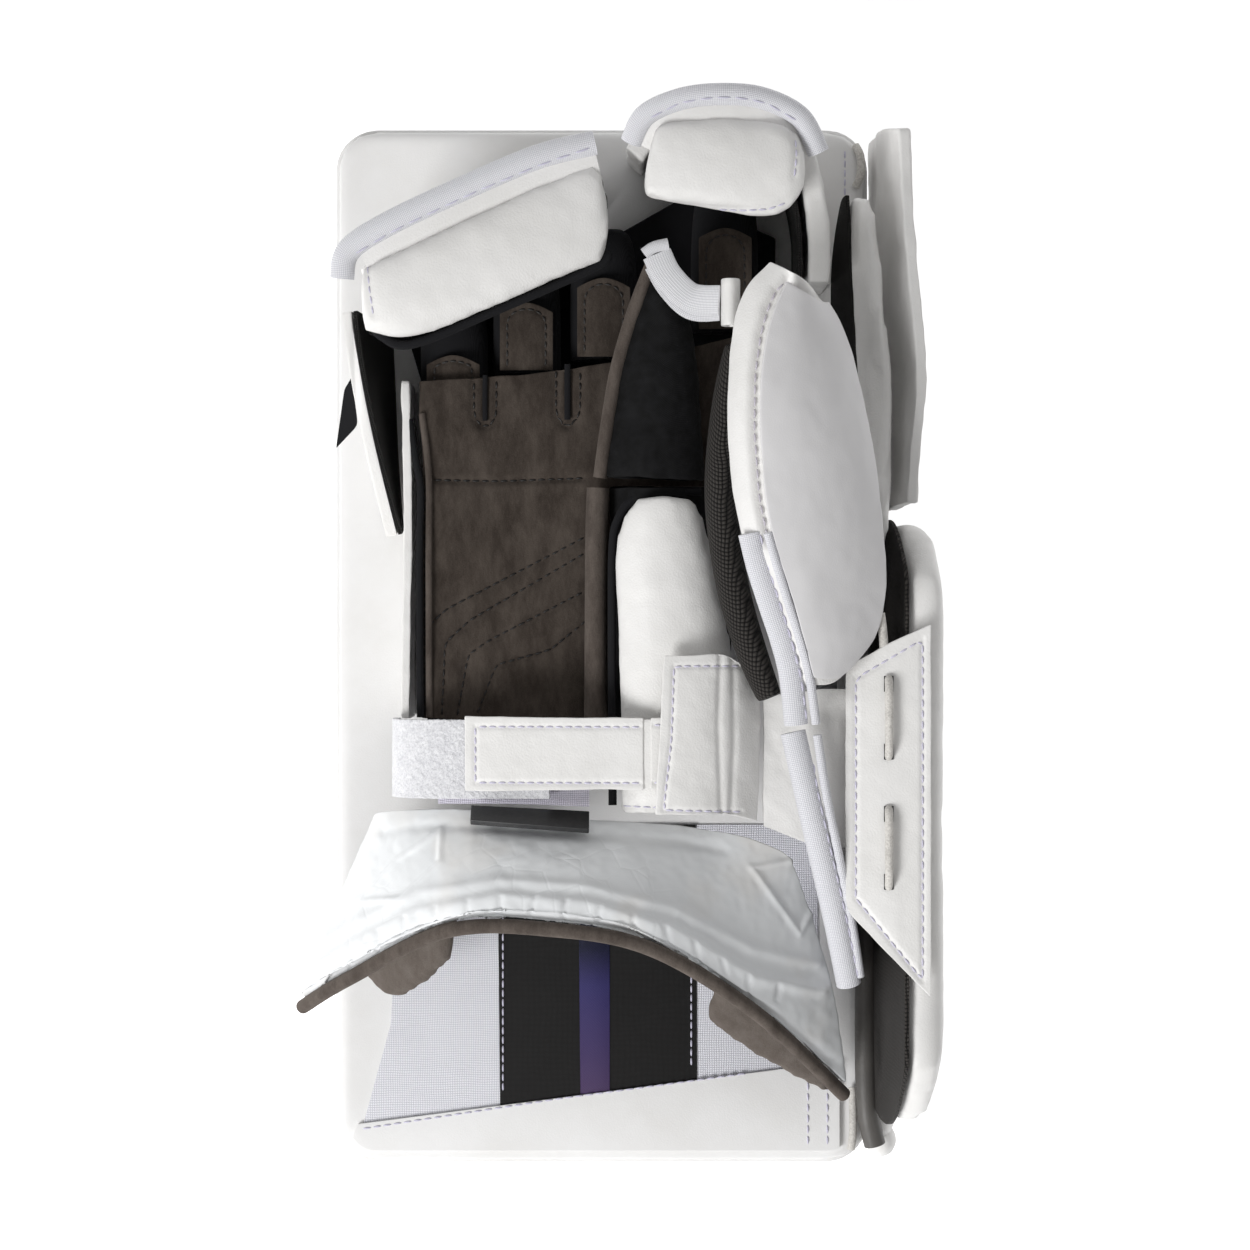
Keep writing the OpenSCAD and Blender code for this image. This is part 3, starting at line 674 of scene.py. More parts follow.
layers = {
    # node: (piece, slot, finish, levels, crease)
    "nylon_panel": ("nylonPanel", "white_weave", "whiteWeave", 0, 0),
    "black_panel": ("blackPanel", "black_weave", "blackWeave", 0, 0),
    "colour_stripe": ("colourStripe", "stripe_cloth", "stripeCloth", 0, 0),
    "hem_band": ("hemBand", "white_leather", "boardLeather", 0, 0),
    "backhand_pad": ("backhandPad", "black_cloth", "blackCloth", 0, 0),
    "impact_foam": ("impactFoam", "foam", "foam", 0, 0),
    "palm": ("palmSuede", "suede", "palmSuede", 4, 0.9),
    "glove_side_wall": ("gloveSideWall", "white_leather", "whiteLeather", 3, 0.5),
    "thenar_panel": ("thenarPanel", "neoprene", "neoprene", 3, 0.6),
    "loop_tape": ("loopTape", "loop_pile", "loopPile", 4, 0.75),
    "strap_anchor": ("strapAnchor", "white_leather", "whiteLeather", 4, 0.8),
    "cross_tab": ("crossTab", "white_leather", "whiteLeather", 4, 0.8),
    "wrist_band": ("wristBand", "wrist_weave", "wristWeave", 3, 0.7),
    "link_strap": ("linkStrap", "white_leather", "whiteLeather", 3, 0.7),
    "side_gusset": ("sideGusset", "white_weave", "whiteWeave", 3, 0.6),
    "side_wing": ("sideWing", "white_leather", "whiteLeather", 3, 0.5),
    "side_wing_liner": ("sideWingLiner", "black_mesh", "fineBlackMesh", 3, 0.7),
    "side_tag": ("sideTag", "black_cloth", "blackCloth", 3, 0.7),
    "little_stall": ("littleStall", "black_cloth", "blackCloth", 2, 0.3),
    "little_tab": ("littleTab", "suede", "palmSuede", 4, 0.75),
    "ring_stall": ("ringStall", "black_cloth", "blackCloth", 2, 0.3),
    "ring_tab": ("ringTab", "suede", "palmSuede", 4, 0.75),
    "middle_stall": ("middleStall", "black_cloth", "blackCloth", 2, 0.3),
    "middle_tab": ("middleTab", "suede", "palmSuede", 4, 0.75),
    "index_stall": ("indexStall", "black_cloth", "blackCloth", 2, 0.3),
    "index_tab": ("indexTab", "suede", "palmSuede", 4, 0.75),
    "thumb_stall": ("thumbStall", "neoprene", "neoprene", 3, 0.3),
    "thumb_guard_shell": ("thumbGuardShell", "white_leather", "whiteLeather", 4, 0.5),
    # the thumb guard panel's greyer leather is painted shade
    "thumb_guard_panel": ("thumbGuardPanel", "white_leather", "guardPanelShadedLeather", 3, 0.45),
    "thumb_mesh_roll": ("thumbMeshRoll", "black_mesh", "blackMesh", 3, 0.2),
    "elastic_loop": ("elasticLoop", "white_leather", "whiteLeather", 3, 0.6),
    "finger_guard_wall": ("fingerGuardWall", "white_leather", "whiteLeather", 3, 0.4),
    "finger_guard_liner": ("fingerGuardLiner", "black_mesh", "fineBlackMesh", 3, 0.7),
    "index_guard_wall": ("indexGuardWall", "white_leather", "whiteLeather", 3, 0.4),
    "index_guard_liner": ("indexGuardLiner", "black_mesh", "fineBlackMesh", 3, 0.7),
    "sideboard_liner": ("sideboardLiner", "black_mesh", "blackMesh", 3, 0.7),
    "upper_wing": ("upperWing", "white_leather", "whiteLeather", 3, 0.5),
    "sideboard_flap": ("sideboardFlap", "white_leather", "whiteLeather", 4, 0.85),
    "side_pad_liner": ("sidePadLiner", "black_mesh", "fineBlackMesh", 3, 0.7),
    "cuff_shell": ("cuffShell", "moulded_cover", "mouldedCover", 4, 0.5),
    "pull_tab": ("pullTab", "rubber_tab", "blackRubber", 3, 0.6),
    "wrist_strap": ("wristStrap", "white_leather", "whiteLeather", 4, 0.85),
    "hook_patch": ("hookPatch", "hook_tape", "hookTape", 3, 0.8)}
longer = {"wristStrap": 0.0002, "strapAnchor": -0.0004, "heelPad": 0.0030}   # how far an end reaches past the CAD
dents = {   # depth and size of the soft dents
    "palmSuede": (0.0007, 0.022), "thumbStall": (0.0007, 0.012), "crossTab": (0.0003, 0.014),
    "linkStrap": (0.0005, 0.016), "cuffShell": (0.0004, 0.012), "gloveSideWall": (0.0004, 0.012),
    "fingerGuardWall": (0.0004, 0.016), "indexGuardWall": (0.0005, 0.012), "upperWing": (0.0009, 0.022),
    "loopTape": (0.00025, 0.0013), "thenarPanel": (0.0007, 0.018), "thumbGuardShell": (0.0004, 0.022),
    "thumbGuardPanel": (0.0004, 0.018), "sideboardFlap": (0.0003, 0.016), "wristStrap": (0.00025, 0.014)}
bodyOf = {n: b for b, members in frame["record"]["behaviour"]["bodies"].items() for n in members}

for source, (name, slot, finish, levels, crease) in layers.items():
    piece = copyNode(source, name)
    if levels:
        creaseRim(piece, crease)
        subdivide(piece, levels)
        if name in longer:
            reach(piece, longer[name])
        rumple(piece, *dents.get(name, (0, 1)))
        smoothShade(piece)
    else:
        applyModifier(piece, "BEVEL", width=0.0011 if source == "hem_band" else 0.0002, segments=3,
                      limit_method="ANGLE", angle_limit=math.radians(40))
        smoothShade(piece, math.radians(30))
    keep(piece, bodyOf[source], slot, finishes[finish], [source])
print("layers ready:", len(layers))


# ---- stuffed pads: remeshed, inflated as cloth, capped ----

pads = {
    # node: (piece, slot, finish, voxel size, crease of its rim, most it may swell)
    "heel_pad": ("heelPad", "white_leather", "whiteLeather", 0.0022, 0.8, 0.0010),
    "finger_guard_roll": ("fingerGuardRoll", "white_leather", "whiteLeather", 0.0028, 0.85, 0.0012),
    "index_guard_roll": ("indexGuardRoll", "white_leather", "whiteLeather", 0.0024, 0.85, 0.0012),
    "sideboard_pad": ("sideboardPad", "white_leather", "whiteLeather", 0.0036, 0.5, 0.0012),
    "side_pad": ("sidePad", "white_leather", "whiteLeather", 0.0026, 0.4, 0.0012),
    "left_wrist_pad": ("leftWristPad", "suede", "liningSuede", 0.0028, 0.4, 0.0010),
    "right_wrist_pad": ("rightWristPad", "suede", "liningSuede", 0.0028, 0.4, 0.0010)}


stuffing = {"pressure": 4.0, "frames": 20}


def makePads(pads):
    made = {}
    for source, (name, slot, finish, voxel, crease, cap) in pads.items():
        piece = copyNode(source, name)
        creaseRim(piece, crease, 38)
        subdivide(piece, 3)
        applyModifier(piece, "REMESH", mode="VOXEL", voxel_size=voxel)
        applyModifier(piece, "SMOOTH", iterations=2, factor=0.5)
        made[source] = (piece, points(piece))
        cloth = piece.modifiers.new("stuffing", "CLOTH")
        cloth.settings.use_pressure = True
        cloth.settings.uniform_pressure_force = stuffing["pressure"]
        cloth.settings.effector_weights.gravity = 0
    for step in range(1, stuffing["frames"] + 1):
        scene.frame_set(step)
    for source, (piece, before) in made.items():
        name, slot, finish, voxel, crease, cap = pads[source]
        pick(piece)
        bpy.ops.object.modifier_apply(modifier="stuffing")
        moved = points(piece) - before
        far = np.linalg.norm(moved, axis=1)
        moved *= np.minimum(1, cap / np.maximum(far, 1e-9))[:, None]
        setPoints(piece, before + moved)
        applyModifier(piece, "SMOOTH", iterations=1, factor=0.5)
        if name in longer:
            reach(piece, longer[name])
        subdivide(piece, 1)
        rumple(piece, 0.0004, 0.018)
        smoothShade(piece, math.radians(75))
        keep(piece, bodyOf[source], slot, finishes[finish], [source])
    scene.frame_set(1)


makePads(pads)
print("pads ready:", len(pads))


# ---- webbing, piping, laces ----

tubes = {
    # piece: (node, shares of its box, width, height, slot, finish, stands for the node)
    "fingerGuardPiping": ("finger_guard_piping", [
        (0.038, 0.012, 0.314), (0.064, 0.202, 0.404), (0.218, 0.383, 0.584), (0.514, 0.631, 0.674),
        (0.779, 0.831, 0.674), (0.990, 0.926, 0.584)],
        0.0088, 0.0070, "woven_binding", "webbing", True),
    "indexGuardPiping": ("index_guard_piping", [
        (0.049, 0.227, 0.237), (0.117, 0.575, 0.491), (0.293, 0.787, 0.682), (0.497, 0.845, 0.746),
        (0.687, 0.787, 0.682), (0.863, 0.536, 0.555), (0.951, 0.073, 0.364)],
        0.0080, 0.0080, "woven_binding", "webbing", True),
    "fingerGuardFlange": ("finger_guard_piping", [
        (0.112, 0.164, 0.359), (0.249, 0.288, 0.449), (0.535, 0.536, 0.539),
        (0.800, 0.735, 0.539), (0.996, 0.831, 0.449)],
        0.0125, 0.0020, "white_leather", "whiteLeather", False),
    "indexGuardFlange": ("index_guard_piping", [
        (0.117, 0.150, 0.268), (0.178, 0.420, 0.427), (0.320, 0.594, 0.587),
        (0.497, 0.652, 0.637), (0.666, 0.594, 0.587), (0.809, 0.382, 0.459),
        (0.883, 0.034, 0.300)], 0.0115, 0.0020, "white_leather", "whiteLeather", False),
    "gussetBinding": ("gusset_binding", [
        (0.147, 0.989, 0.889), (0.315, 0.755, 0.858), (0.466, 0.552, 0.763), (0.684, 0.264, 0.447),
        (0.852, 0.019, 0.100)], 0.0090, 0.0066, "woven_binding", "webbing", True),
    "gussetPiping": ("gusset_binding", [
        (0.433, 0.979, 0.937), (0.550, 0.744, 0.874), (0.684, 0.541, 0.773), (0.869, 0.264, 0.463),
        (0.987, 0.051, 0.163)], 0.0032, 0.0032, "woven_binding", "webbing", False),
    "guardBinding": ("thumb_guard_shell", [
        (0.143, 0.361, 0.713), (0.196, 0.280, 0.652), (0.276, 0.186, 0.576), (0.347, 0.106, 0.500),
        (0.400, 0.026, 0.424), (0.435, -0.090, 0.323)],
        0.0085, 0.0056, "woven_binding", "webbing", False),
    "guardPiping": ("thumb_guard_shell", [
        (0.250, 0.361, 0.918), (0.312, 0.280, 0.834), (0.391, 0.186, 0.720), (0.459, 0.106, 0.606),
        (0.515, 0.026, 0.492), (0.560, -0.088, 0.342)],
        0.0032, 0.0032, "woven_binding", "webbing", False),
    "palmRoll": ("palm_roll", [
        (0.444, 0.002, 0.447), (0.467, 0.434, 0.547), (0.489, 0.794, 0.547), (0.556, 0.998, 0.547)],
        0.0080, 0.0090, "suede", "edgeSuede", True),
    "thumbPiping": ("thumb_stall", [
        (0.500, 0.971, 0.805), (0.305, 0.749, 0.756), (0.139, 0.502, 0.683), (0.041, 0.256, 0.610),
        (-0.034, 0.015, 0.537)], 0.0050, 0.0060, "suede", "edgeSuede", False),
    "heelEdge": ("heel_pad", [
        (0.000, 0.030, 0.10), (-0.006, 0.545, 0.16), (0.000, 0.835, 0.16), (0.050, 0.925, 0.19),
        (0.175, 0.985, 0.22), (0.400, 1.008, 0.25), (0.720, 1.006, 0.25)],
        0.0030, 0.0026, "black_cloth", "blackCloth", False),
    "rollEdge": ("finger_guard_roll", [
        (0.039, 0.114, 0.090), (0.084, 0.034, 0.090), (0.208, -0.008, 0.110), (0.557, 0.186, 0.140),
        (0.952, 0.428, 0.140), (0.985, 0.503, 0.110)],
        0.0034, 0.0030, "black_cloth", "blackCloth", False),
    "palmBinding": ("palm", [
        (0.009, 0.004, 1.127), (0.006, 0.406, 1.165), (0.009, 0.594, 1.165), (-0.004, 0.667, 1.089),
        (-0.026, 0.782, 0.899)], 0.0026, 0.0024, "black_cloth", "blackCloth", False),
    "palmBindingInner": ("palm", [
        (0.036, 0.004, 1.089), (0.035, 0.406, 1.127), (0.036, 0.594, 1.127), (0.030, 0.681, 1.013),
        (0.013, 0.797, 0.823)], 0.0024, 0.0020, "suede", "edgeSuede", False),
    "leftSlitShade": ("palm", [
        (0.209, 0.898, 0.500), (0.208, 0.840, 0.500), (0.209, 0.779, 0.519)],
        0.0018, 0.0012, "black_cloth", "blackCloth", False),
    "rightSlitShade": ("palm", [
        (0.465, 0.927, 0.462), (0.465, 0.855, 0.462), (0.465, 0.782, 0.481)],
        0.0022, 0.0012, "black_cloth", "blackCloth", False),
    "cuffEdging": ("cuff_edging", [
        (0.011, 0.490, 0.049), (0.101, 0.662, 0.398), (0.281, 0.934, 0.824), (0.465, 0.949, 0.946),
        (0.640, 0.848, 0.915), (0.824, 0.505, 0.596), (0.989, 0.032, 0.034)],
        0.0052, 0.0060, "suede", "edgeSuede", True),
    "elasticStrap": ("elastic_strap", [
        (0.138, 0.946, 0.236), (0.290, 0.594, 0.346), (0.595, 0.256, 0.528), (0.976, 0.198, 0.985)],
        0.0105, 0.0014, "woven_binding", "elasticWeave", True),
    "elasticUnder": ("elastic_strap", [
        (0.157, 0.814, 0.053), (0.328, 0.462, 0.163), (0.614, 0.141, 0.346), (0.976, 0.115, 0.766)],
        0.0105, 0.0014, "woven_binding", "elasticWeave", False),
    "elasticFold": ("elastic_strap", [
        (-0.034, 0.946, 0.272), (0.099, 1.048, 0.309), (0.290, 1.100, 0.291)],
        0.0042, 0.0040, "woven_binding", "elasticWeave", False),
    "laceEnd": ("sideboard_flap", [
        (0.403, 1.030, 1.111), (0.426, 0.992, 1.019), (0.446, 0.951, 0.592), (0.456, 0.901, -0.002)],
        0.0032, 0.0032, "lace", "ivoryLace", False),
    "sideboardBinding": ("sideboard_liner", [
        (-0.060, 0.336, 0.281), (-0.116, 0.255, 0.275), (-0.134, 0.155, 0.269), (-0.116, 0.064, 0.269),
        (-0.023, 0.001, 0.257), (0.199, -0.045, 0.232)],
        0.0080, 0.0074, "grey_leather", "greyLeather", False),
    "hemLace": ("hem_band", [
        (1.026, 0.713, 1.091), (1.028, 0.440, 1.273), (1.027, 0.167, 1.273), (1.023, 0.015, 1.000)],
        0.0030, 0.0030, "lace", "ivoryLace", False),
    "cornerLace": ("back_skin", [
        (0.982, 0.986, 1.100), (0.991, 0.975, 1.367), (0.991, 0.957, 1.367), (0.982, 0.946, 1.100)],
        0.0030, 0.0030, "lace", "ivoryLace", False)}

for name, (source, shares, width, height, slot, finish, stands) in tubes.items():
    piece = sweep(name, [at(source, *s) for s in shares], width, height)
    keep(piece, bodyOf[source], slot, finishes[finish], [source] if stands else [])
print("tubes ready:", len(tubes))

lacing = {
    "across": 0.003, "hidden": 0.0986, "surface": 0.1006, "top": 0.1016,
    "runs": {"upperLace": (-0.013, -0.037), "lowerLace": (-0.059, -0.083)},
    "slit": {"half": 0.0028, "width": 0.0034, "thickness": 0.0010, "ends": 0.09905, "middle": 0.09925}}


def makeLaces(look):   # a lace between two slits, and dark pieces at the slits it goes into: painted shade in the slit holes
    low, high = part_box("flap_laces")
    x = (low.x + high.x) / 2
    made = []
    slit = look["slit"]
    for name, (start, end) in look["runs"].items():
        route = [(x, start + 0.002, look["hidden"]), (x, start, look["surface"]),
                 (x, start - 0.004, look["top"]), (x, (start + end) / 2, look["top"]),
                 (x, end + 0.004, look["top"]),
                 (x, end, look["surface"]), (x, end - 0.002, look["hidden"])]
        lace = sweep(name, route, look["across"], look["across"], sides=10, step=0.001)
        keep(lace, "sideboard", "lace", finishes["ivoryLace"], [] if made else ["flap_laces"])
        made.append((lace, curveThrough(route, 0.001)))
        # each slit gets a dark cloth piece that stands in for the shade in its hole: painted shade
        for place, y in (("Top", start), ("Foot", end)):
            knots = [(x, y - slit["half"], slit["ends"]), (x, y, slit["middle"]),
                     (x, y + slit["half"], slit["ends"])]
            slitShade = sweep(name + "SlitShade" + place, knots, slit["width"], slit["thickness"],
                         sides=10, step=0.0008)
            keep(slitShade, "sideboard", "black_cloth", finishes["blackCloth"])
    return made


laces = makeLaces(lacing)
print("laces ready")


# ---- seams: pressed channels with thread in them ----

def tabPath(top):   # up one side of a finger tab, round its end and down
    return [(0.140, 0.05), (0.140, top), (0.300, top + 0.100), (0.500, top + 0.125), (0.700, top + 0.100),
            (0.860, top), (0.860, 0.05)]


seams = {
    # piece: (on, node, paths as shares of the node's box, thread, pitch, zigzag, channel width, depth)
    "palmSeams": ("palmSuede", "palm", [
        [(0.019, 0.624), (0.255, 0.621), (0.516, 0.629)],
        [(0.174, 0.906), (0.174, 0.794), (0.187, 0.770), (0.209, 0.760), (0.230, 0.770), (0.243, 0.794),
         (0.243, 0.885)],
        [(0.429, 0.937), (0.429, 0.802), (0.442, 0.775), (0.464, 0.762), (0.488, 0.775), (0.504, 0.802),
         (0.504, 0.932)],
        [(0.010, 0.222), (0.084, 0.284), (0.519, 0.475)],
        [(0.075, 0.007), (0.084, 0.198), (0.162, 0.258), (0.519, 0.433)],
        [(0.122, 0.007), (0.156, 0.167), (0.224, 0.206), (0.513, 0.331)],
        [(0.184, 0.012), (0.243, 0.141), (0.411, 0.180), (0.526, 0.258)],
        [(0.022, 0.613), (0.022, 0.310), (0.022, 0.012)]], "palmThread", 0.0034, 0, 0.0012, 0.0011),
    "thumbGuardSeam": ("thumbGuardShell", "thumb_guard_shell", [
        [(0.527, 0.907), (0.464, 0.927), (0.408, 0.945), (0.375, 0.955), (0.308, 0.932), (0.256, 0.892),
         (0.209, 0.829), (0.173, 0.732), (0.168, 0.601), (0.198, 0.445), (0.252, 0.346)]],
        "seamThread", 0.0042, 0, 0.0022, 0.0034),
    "strapStitches": ("wristStrap", "wrist_strap", [
        [(0.076, 0.857), (0.985, 0.857)], [(0.076, 0.111), (0.985, 0.111)],
        [(0.060, 0.857), (0.060, 0.111)]], "whiteThread", 0.0034, 0, 0.0009, 0.0004),
    "anchorStitches": ("strapAnchor", "strap_anchor", [
        [(0.02, 0.90), (0.98, 0.90)], [(0.02, 0.10), (0.98, 0.10)]],
        "whiteThread", 0.0034, 0, 0.0009, 0.0004),
    "crossTabStitches": ("crossTab", "cross_tab", [
        [(0.892, 0.925), (0.175, 0.925), (0.150, 0.490), (0.075, 0.076), (0.816, 0.060)]],
        "whiteThread", 0.0034, 0, 0.0009, 0.0005),
    "heelHem": ("heelPad", "heel_pad", [[(0.08, 0.03), (0.546, 0.024), (0.95, 0.03)]],
                "whiteThread", 0.0036, 0, 0.0012, 0.0006),
    "flapStitches": ("sideboardFlap", "sideboard_flap", [
        [(0.120, 0.265), (0.120, 0.855), (0.900, 0.960), (0.900, 0.045), (0.120, 0.265)]],
        "whiteThread", 0.0038, 0, 0.0010, 0.0005),
    "indexRollStitches": ("indexGuardRoll", "index_guard_roll", [
        [(0.060, 0.200), (0.120, 0.135), (0.322, 0.105), (0.640, 0.075), (0.780, 0.085), (0.880, 0.150)],
        [(0.930, 0.880), (0.945, 0.640), (0.930, 0.400)]], "whiteThread", 0.0036, 0, 0.0012, 0.0007),
    "fingerRollStitches": ("fingerGuardRoll", "finger_guard_roll", [
        [(0.030, 0.420), (0.040, 0.280), (0.055, 0.140)]], "whiteThread", 0.0036, 0, 0.0012, 0.0007),
    "boardEdgeStitches": ("backCover", "back_skin", [
        [(0.962, 0.982), (0.962, 0.937)]], "whiteThread", 0.0036, 0, 0.0012, 0.0006),
    "hemStitches": ("hemBand", "hem_band", [
        [(0.020, 0.245), (0.426, 0.585), (0.975, 0.985)], [(0.935, 0.90), (0.935, 0.06)],
        [(0.975, 0.90), (0.975, 0.06)]], "whiteThread", 0.0038, 0, 0.0, 0.0),
    "panelStitches": ("blackPanel", "black_panel", [
        [(0.028, 0.980), (0.028, 0.050)], [(0.972, 0.980), (0.972, 0.140)]],
        "whiteThread", 0.0034, 0, 0.0, 0.0),
    "slitGaps": ("palmSuede", "palm", [
        [(0.209, 0.900), (0.209, 0.775)], [(0.466, 0.930), (0.466, 0.780)]], "", 0.01, 0, 0.0016, 0.0016),
    "fingerPipingStitches": ("fingerGuardPiping", "finger_guard_piping", [
        [(0.085, 0.170), (0.240, 0.335), (0.530, 0.580), (0.790, 0.775), (0.980, 0.890)]],
        "whiteThread", 0.0072, 0, 0.0, 0.0),
    "indexPipingStitches": ("indexGuardPiping", "index_guard_piping", [
        [(0.130, 0.510), (0.300, 0.735), (0.497, 0.795), (0.680, 0.740), (0.850, 0.470)]],
        "whiteThread", 0.0060, 0, 0.0, 0.0),
    "bindingStitches": ("gussetBinding", "gusset_binding", [
        [(0.330, 0.985), (0.440, 0.755), (0.590, 0.552), (0.810, 0.264), (0.960, 0.040)]],
        "whiteThread", 0.0050, 0, 0.0, 0.0),
    "guardBindingStitches": ("guardBinding", "thumb_guard_shell", [
        [(0.200, 0.361), (0.256, 0.280), (0.335, 0.186), (0.404, 0.106), (0.460, 0.026), (0.500, -0.082)]],
        "whiteThread", 0.0050, 0, 0.0, 0.0),
    "indexTabStitches": ("indexTab", "index_tab", [tabPath(0.80)],
        "darkThread", 0.0032, 0, 0.0010, 0.0004),
    "middleTabStitches": ("middleTab", "middle_tab", [tabPath(0.78)],
        "darkThread", 0.0032, 0, 0.0010, 0.0004),
    "ringTabStitches": ("ringTab", "ring_tab", [tabPath(0.76)],
        "darkThread", 0.0032, 0, 0.0010, 0.0004),
    "littleTabStitches": ("littleTab", "little_tab", [
        [(0.140, 0.10), (0.160, 0.66), (0.500, 0.80), (0.840, 0.66), (0.860, 0.10)]],
        "darkThread", 0.0030, 0, 0.0010, 0.0004)}


def pathAcross(source, shares, top=0.4):   # the path on a flat sheet above the object
    return [Vector((*at(source, u, v).xy, top)) for u, v in shares]


def press(piece, paths, width, depth, facing=0.15):   # a channel, or a ridge if depth is below 0
    co, out = points(piece), normals(piece)
    near = np.full(len(co), 9.0)
    for path in paths:
        for a, b in zip(path, path[1:]):
            start, along = np.array(a.xy), np.array((b - a).xy)
            share = np.clip(((co[:, :2] - start) @ along) / max(along @ along, 1e-12), 0, 1)
            gapTo = co[:, :2] - start - share[:, None] * along
            near = np.minimum(near, np.linalg.norm(gapTo, axis=1))
    dip = depth * np.exp(-(near / width) ** 2) * (out[:, 2] > facing)
    setPoints(piece, co - out * dip[:, None])


def threadShape():   # one stitch, a metre long, arched and tapered
    bpy.ops.object.select_all(action="DESELECT")
    bpy.ops.mesh.primitive_cylinder_add(vertices=6, radius=1, depth=1, rotation=(0, math.pi / 2, 0))
    stitch = bpy.context.object
    bpy.ops.object.transform_apply(location=True, rotation=True, scale=True)
    edit(stitch, "EDGE")
    chooseEdges(stitch, lambda e: abs((e.verts[0].co - e.verts[1].co).normalized().x) > 0.9)
    bpy.ops.mesh.subdivide(number_cuts=3)
    bpy.ops.object.mode_set(mode="OBJECT")
    for vertex in stitch.data.vertices:
        end = abs(vertex.co.x) * 2
        vertex.co.y *= 1 - 0.45 * end ** 3
        vertex.co.z = vertex.co.z * (1 - 0.45 * end ** 3) - 1.1 * end ** 2
    mesh = stitch.data.copy()
    bpy.data.objects.remove(stitch)
    return mesh


oneStitch = threadShape()
thread = {"radius": 0.00036, "share": 0.72, "sunk": 0.00008}


def sew(name, target, paths, pitch, zigzag, finish, body):
    mesh = target.data
    tree = BVHTree.FromPolygons([v.co for v in mesh.vertices], [p.vertices[:] for p in mesh.polygons])
    joined = bmesh.new()
    for path in paths:
        stops = evenly(path, pitch)
        for i, (a, b) in enumerate(zip(stops, stops[1:])):
            way = (b - a).normalized()
            aside = Vector((-way.y, way.x, 0)) * zigzag / 2
            slack = (b - a) * (1 - thread["share"]) / 2
            ends = (a + aside, b - aside) if zigzag else (a + slack, b - slack)
            if zigzag and i % 2:
                ends = (a - aside, b + aside)
            hits = [tree.ray_cast(end, Vector((0, 0, -1))) for end in ends]
            if any(hit[0] is None for hit in hits) or abs(hits[0][0].z - hits[1][0].z) > pitch * 1.5:
                continue
            start, stop = hits[0][0], hits[1][0]
            out = (hits[0][1] + hits[1][1]).normalized()
            forward = (stop - start).normalized()
            side = out.cross(forward).normalized()
            out = forward.cross(side)
            place = Matrix((forward, side, out)).transposed().to_4x4()
            size = Matrix.Diagonal(((stop - start).length + thread["radius"], thread["radius"],
                                    thread["radius"], 1))
            middle = (start + stop) / 2 + out * (thread["radius"] * 0.8 - thread["sunk"])
            copy = oneStitch.copy()
            copy.transform(Matrix.Translation(middle) @ place @ size)
            joined.from_mesh(copy)
            bpy.data.meshes.remove(copy)
    made = bpy.data.meshes.new(name)
    joined.to_mesh(made)
    joined.free()
    piece = bpy.data.objects.new(name, made)
    scene.collection.objects.link(piece)
    smoothShade(piece, math.radians(80))
    slot = target["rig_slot"]
    return keep(piece, body, slot, finishes[finish])


ridges = [
    # (piece, node, paths as shares of the node's box, width, depth; a depth below 0 is a ridge)
    ("cuffShell", "cuff_shell", [
        [(0.052, 0.523), (0.116, 0.600), (0.230, 0.710), (0.371, 0.755), (0.524, 0.737), (0.676, 0.662),
         (0.822, 0.508), (0.939, 0.440)]], 0.0022, -0.0012),
    ("cuffShell", "cuff_shell", [
        [(0.031, 0.419), (0.095, 0.503), (0.222, 0.644), (0.371, 0.704), (0.524, 0.683), (0.677, 0.594),
         (0.823, 0.411), (0.949, 0.348)]], 0.0024, -0.0014),
    ("cuffShell", "cuff_shell", [
        [(0.154, 0.915), (0.200, 0.935), (0.267, 0.945), (0.355, 0.940), (0.459, 0.925), (0.573, 0.912),
         (0.681, 0.891), (0.772, 0.858)],
        [(0.015, 0.330), (0.079, 0.417), (0.220, 0.581), (0.376, 0.652), (0.525, 0.629), (0.672, 0.535),
         (0.824, 0.322), (0.970, 0.085)]], 0.0020, 0.0008),
    ("cuffShell", "cuff_shell", [
        [(0.115, 0.667), (0.183, 0.818), (0.263, 0.924), (0.263, 0.818), (0.192, 0.685), (0.115, 0.667)],
        [(0.821, 0.792), (0.908, 0.820), (0.947, 0.679), (0.908, 0.555), (0.821, 0.792)]], 0.0011, -0.0008),
    ("crossTab", "cross_tab", [
        [(0.62, 1.0), (0.60, 0.6), (0.63, 0.0)], [(0.74, 1.0), (0.75, 0.5), (0.72, 0.0)]], 0.0012, 0.0006),
    ("sideWing", "side_wing", [[(0.25, 0.0), (0.25, 1.0)]], 0.0012, 0.0006)]
lipCreases = {"count": 15, "from": (0.08, 0.92), "length": 0.010, "width": 0.0009, "depth": 0.0006}


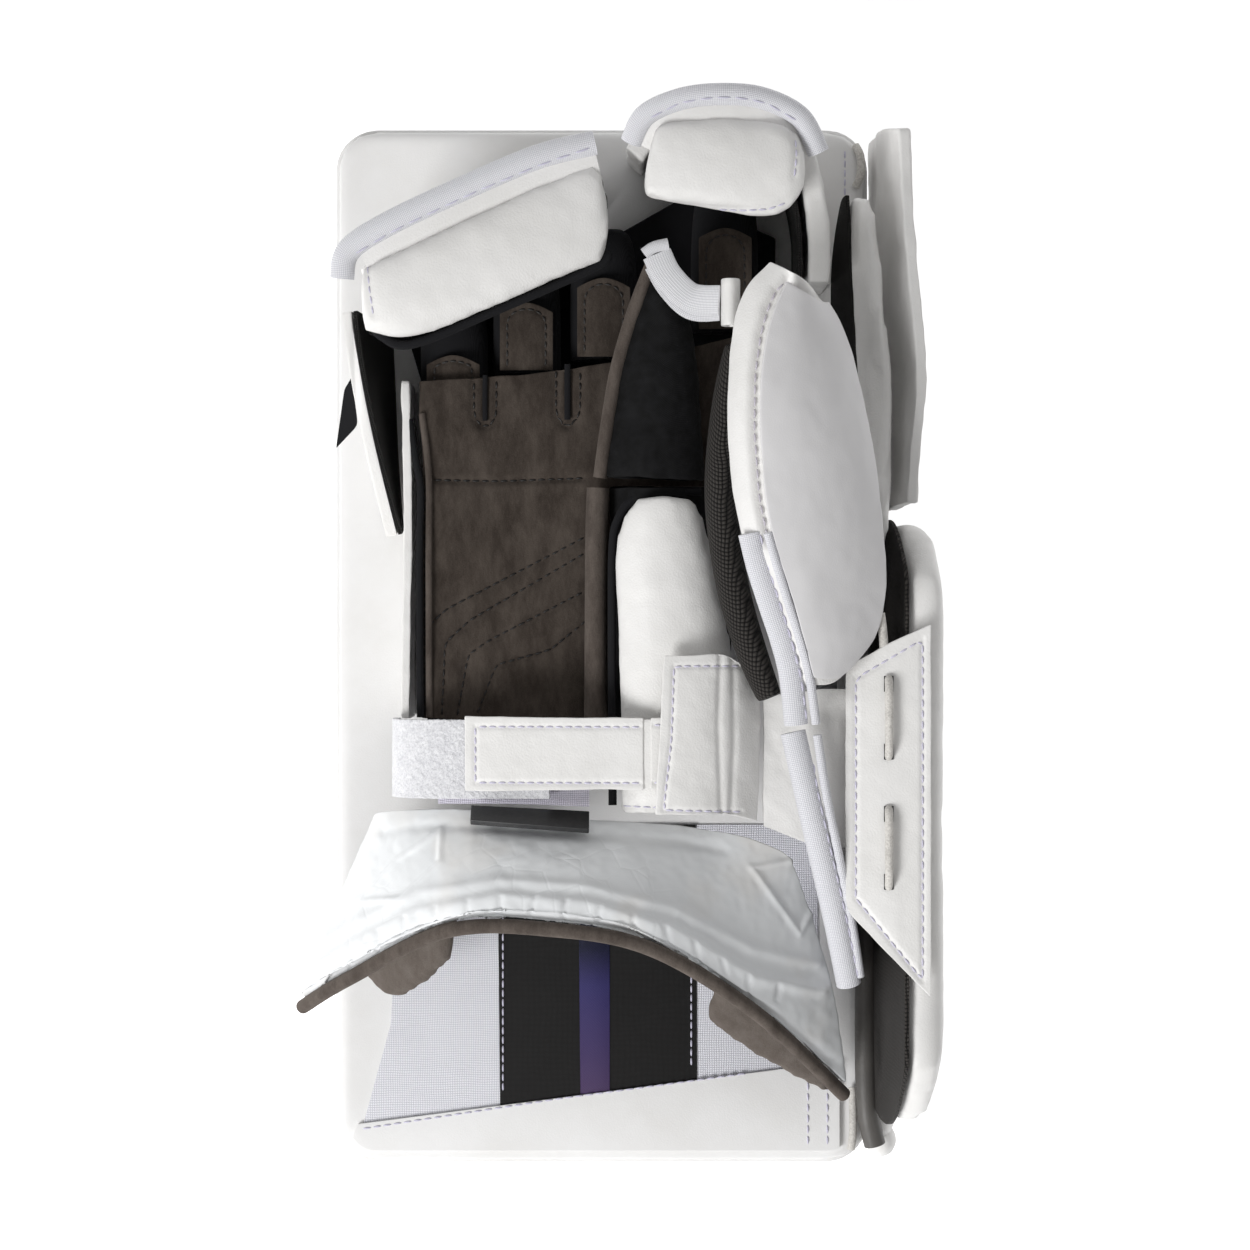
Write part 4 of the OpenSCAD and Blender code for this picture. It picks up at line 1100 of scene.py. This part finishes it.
def makeRidges(ridges, creases):
    for name, source, shares, width, depth in ridges:
        press(finished[name], [pathAcross(source, path) for path in shares], width, depth)
    rim = curveThrough(pathAcross("cuff_shell", ridges[1][2][0]), 0.001)
    short = []
    for i in range(creases["count"]):
        share = creases["from"][0] + (creases["from"][1] - creases["from"][0]) * i / (creases["count"] - 1)
        spot = rim[round(share * (len(rim) - 1))]
        lean = 0.0016 * math.sin(7 * i)
        short.append([spot, spot + Vector((lean, -creases["length"] * (0.8 + 0.3 * math.sin(3 * i)), 0))])
    press(finished["cuffShell"], short, creases["width"], creases["depth"])


def makeSeams(seams):
    for name, (on, source, shares, finish, pitch, zigzag, width, depth) in seams.items():
        target = finished[on]
        paths = [pathAcross(source, path) for path in shares]
        if depth:
            press(target, paths, width, depth)
    for name, (on, source, shares, finish, pitch, zigzag, width, depth) in seams.items():
        paths = [pathAcross(source, path) for path in shares]
        if finish:
            sew(name, finished[on], paths, pitch, zigzag, finish, bodyOf[source])


makeRidges(ridges, lipCreases)
makeSeams(seams)
print("seams ready:", len(seams))


# ---- the leather that bends between the strap and its sewn end ----

strapWeb = {"middle": (0.0166, -0.0378, 0.0988), "reach": 0.0048, "width": 0.0245, "thickness": 0.0017}


def makeStrapWeb(look):
    middle = Vector(look["middle"])
    away = Vector((look["reach"], 0, 0))
    web = sweep("strapWeb", [middle + away, middle, middle - away], look["width"], look["thickness"],
                sides=24, step=0.0004, flatten=0.35)
    web.data.materials.append(finishes["whiteLeather"])
    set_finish(web, "white_leather")
    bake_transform(web)
    finished["strapWeb"] = web


makeStrapWeb(strapWeb)


# ---- small lobes at the foot of the outer roll ----

lobes = {"lobeUpper": ((0.103, -0.176, 0.022), (0.011, 0.013, 0.018)),
         "lobeLower": ((0.104, -0.1835, 0.019), (0.011, 0.013, 0.016))}
for name, (place, size) in lobes.items():
    bpy.ops.object.select_all(action="DESELECT")
    bpy.ops.mesh.primitive_uv_sphere_add(segments=32, ring_count=20, radius=0.5, location=place)
    piece = bpy.context.object
    piece.name = name
    piece.scale = size
    bpy.ops.object.transform_apply(location=True, rotation=True, scale=True)
    rumple(piece, 0.0003, 0.006)
    smoothShade(piece)
    keep(piece, "sideboard", "white_leather", finishes["whiteLeather"])

# the hidden stiffener keeps its own shape
stiffener = frame["nodes"]["stiffener_sheet"]
stiffener.data.materials.clear()
stiffener.data.materials.append(finishes["stiffSheet"])
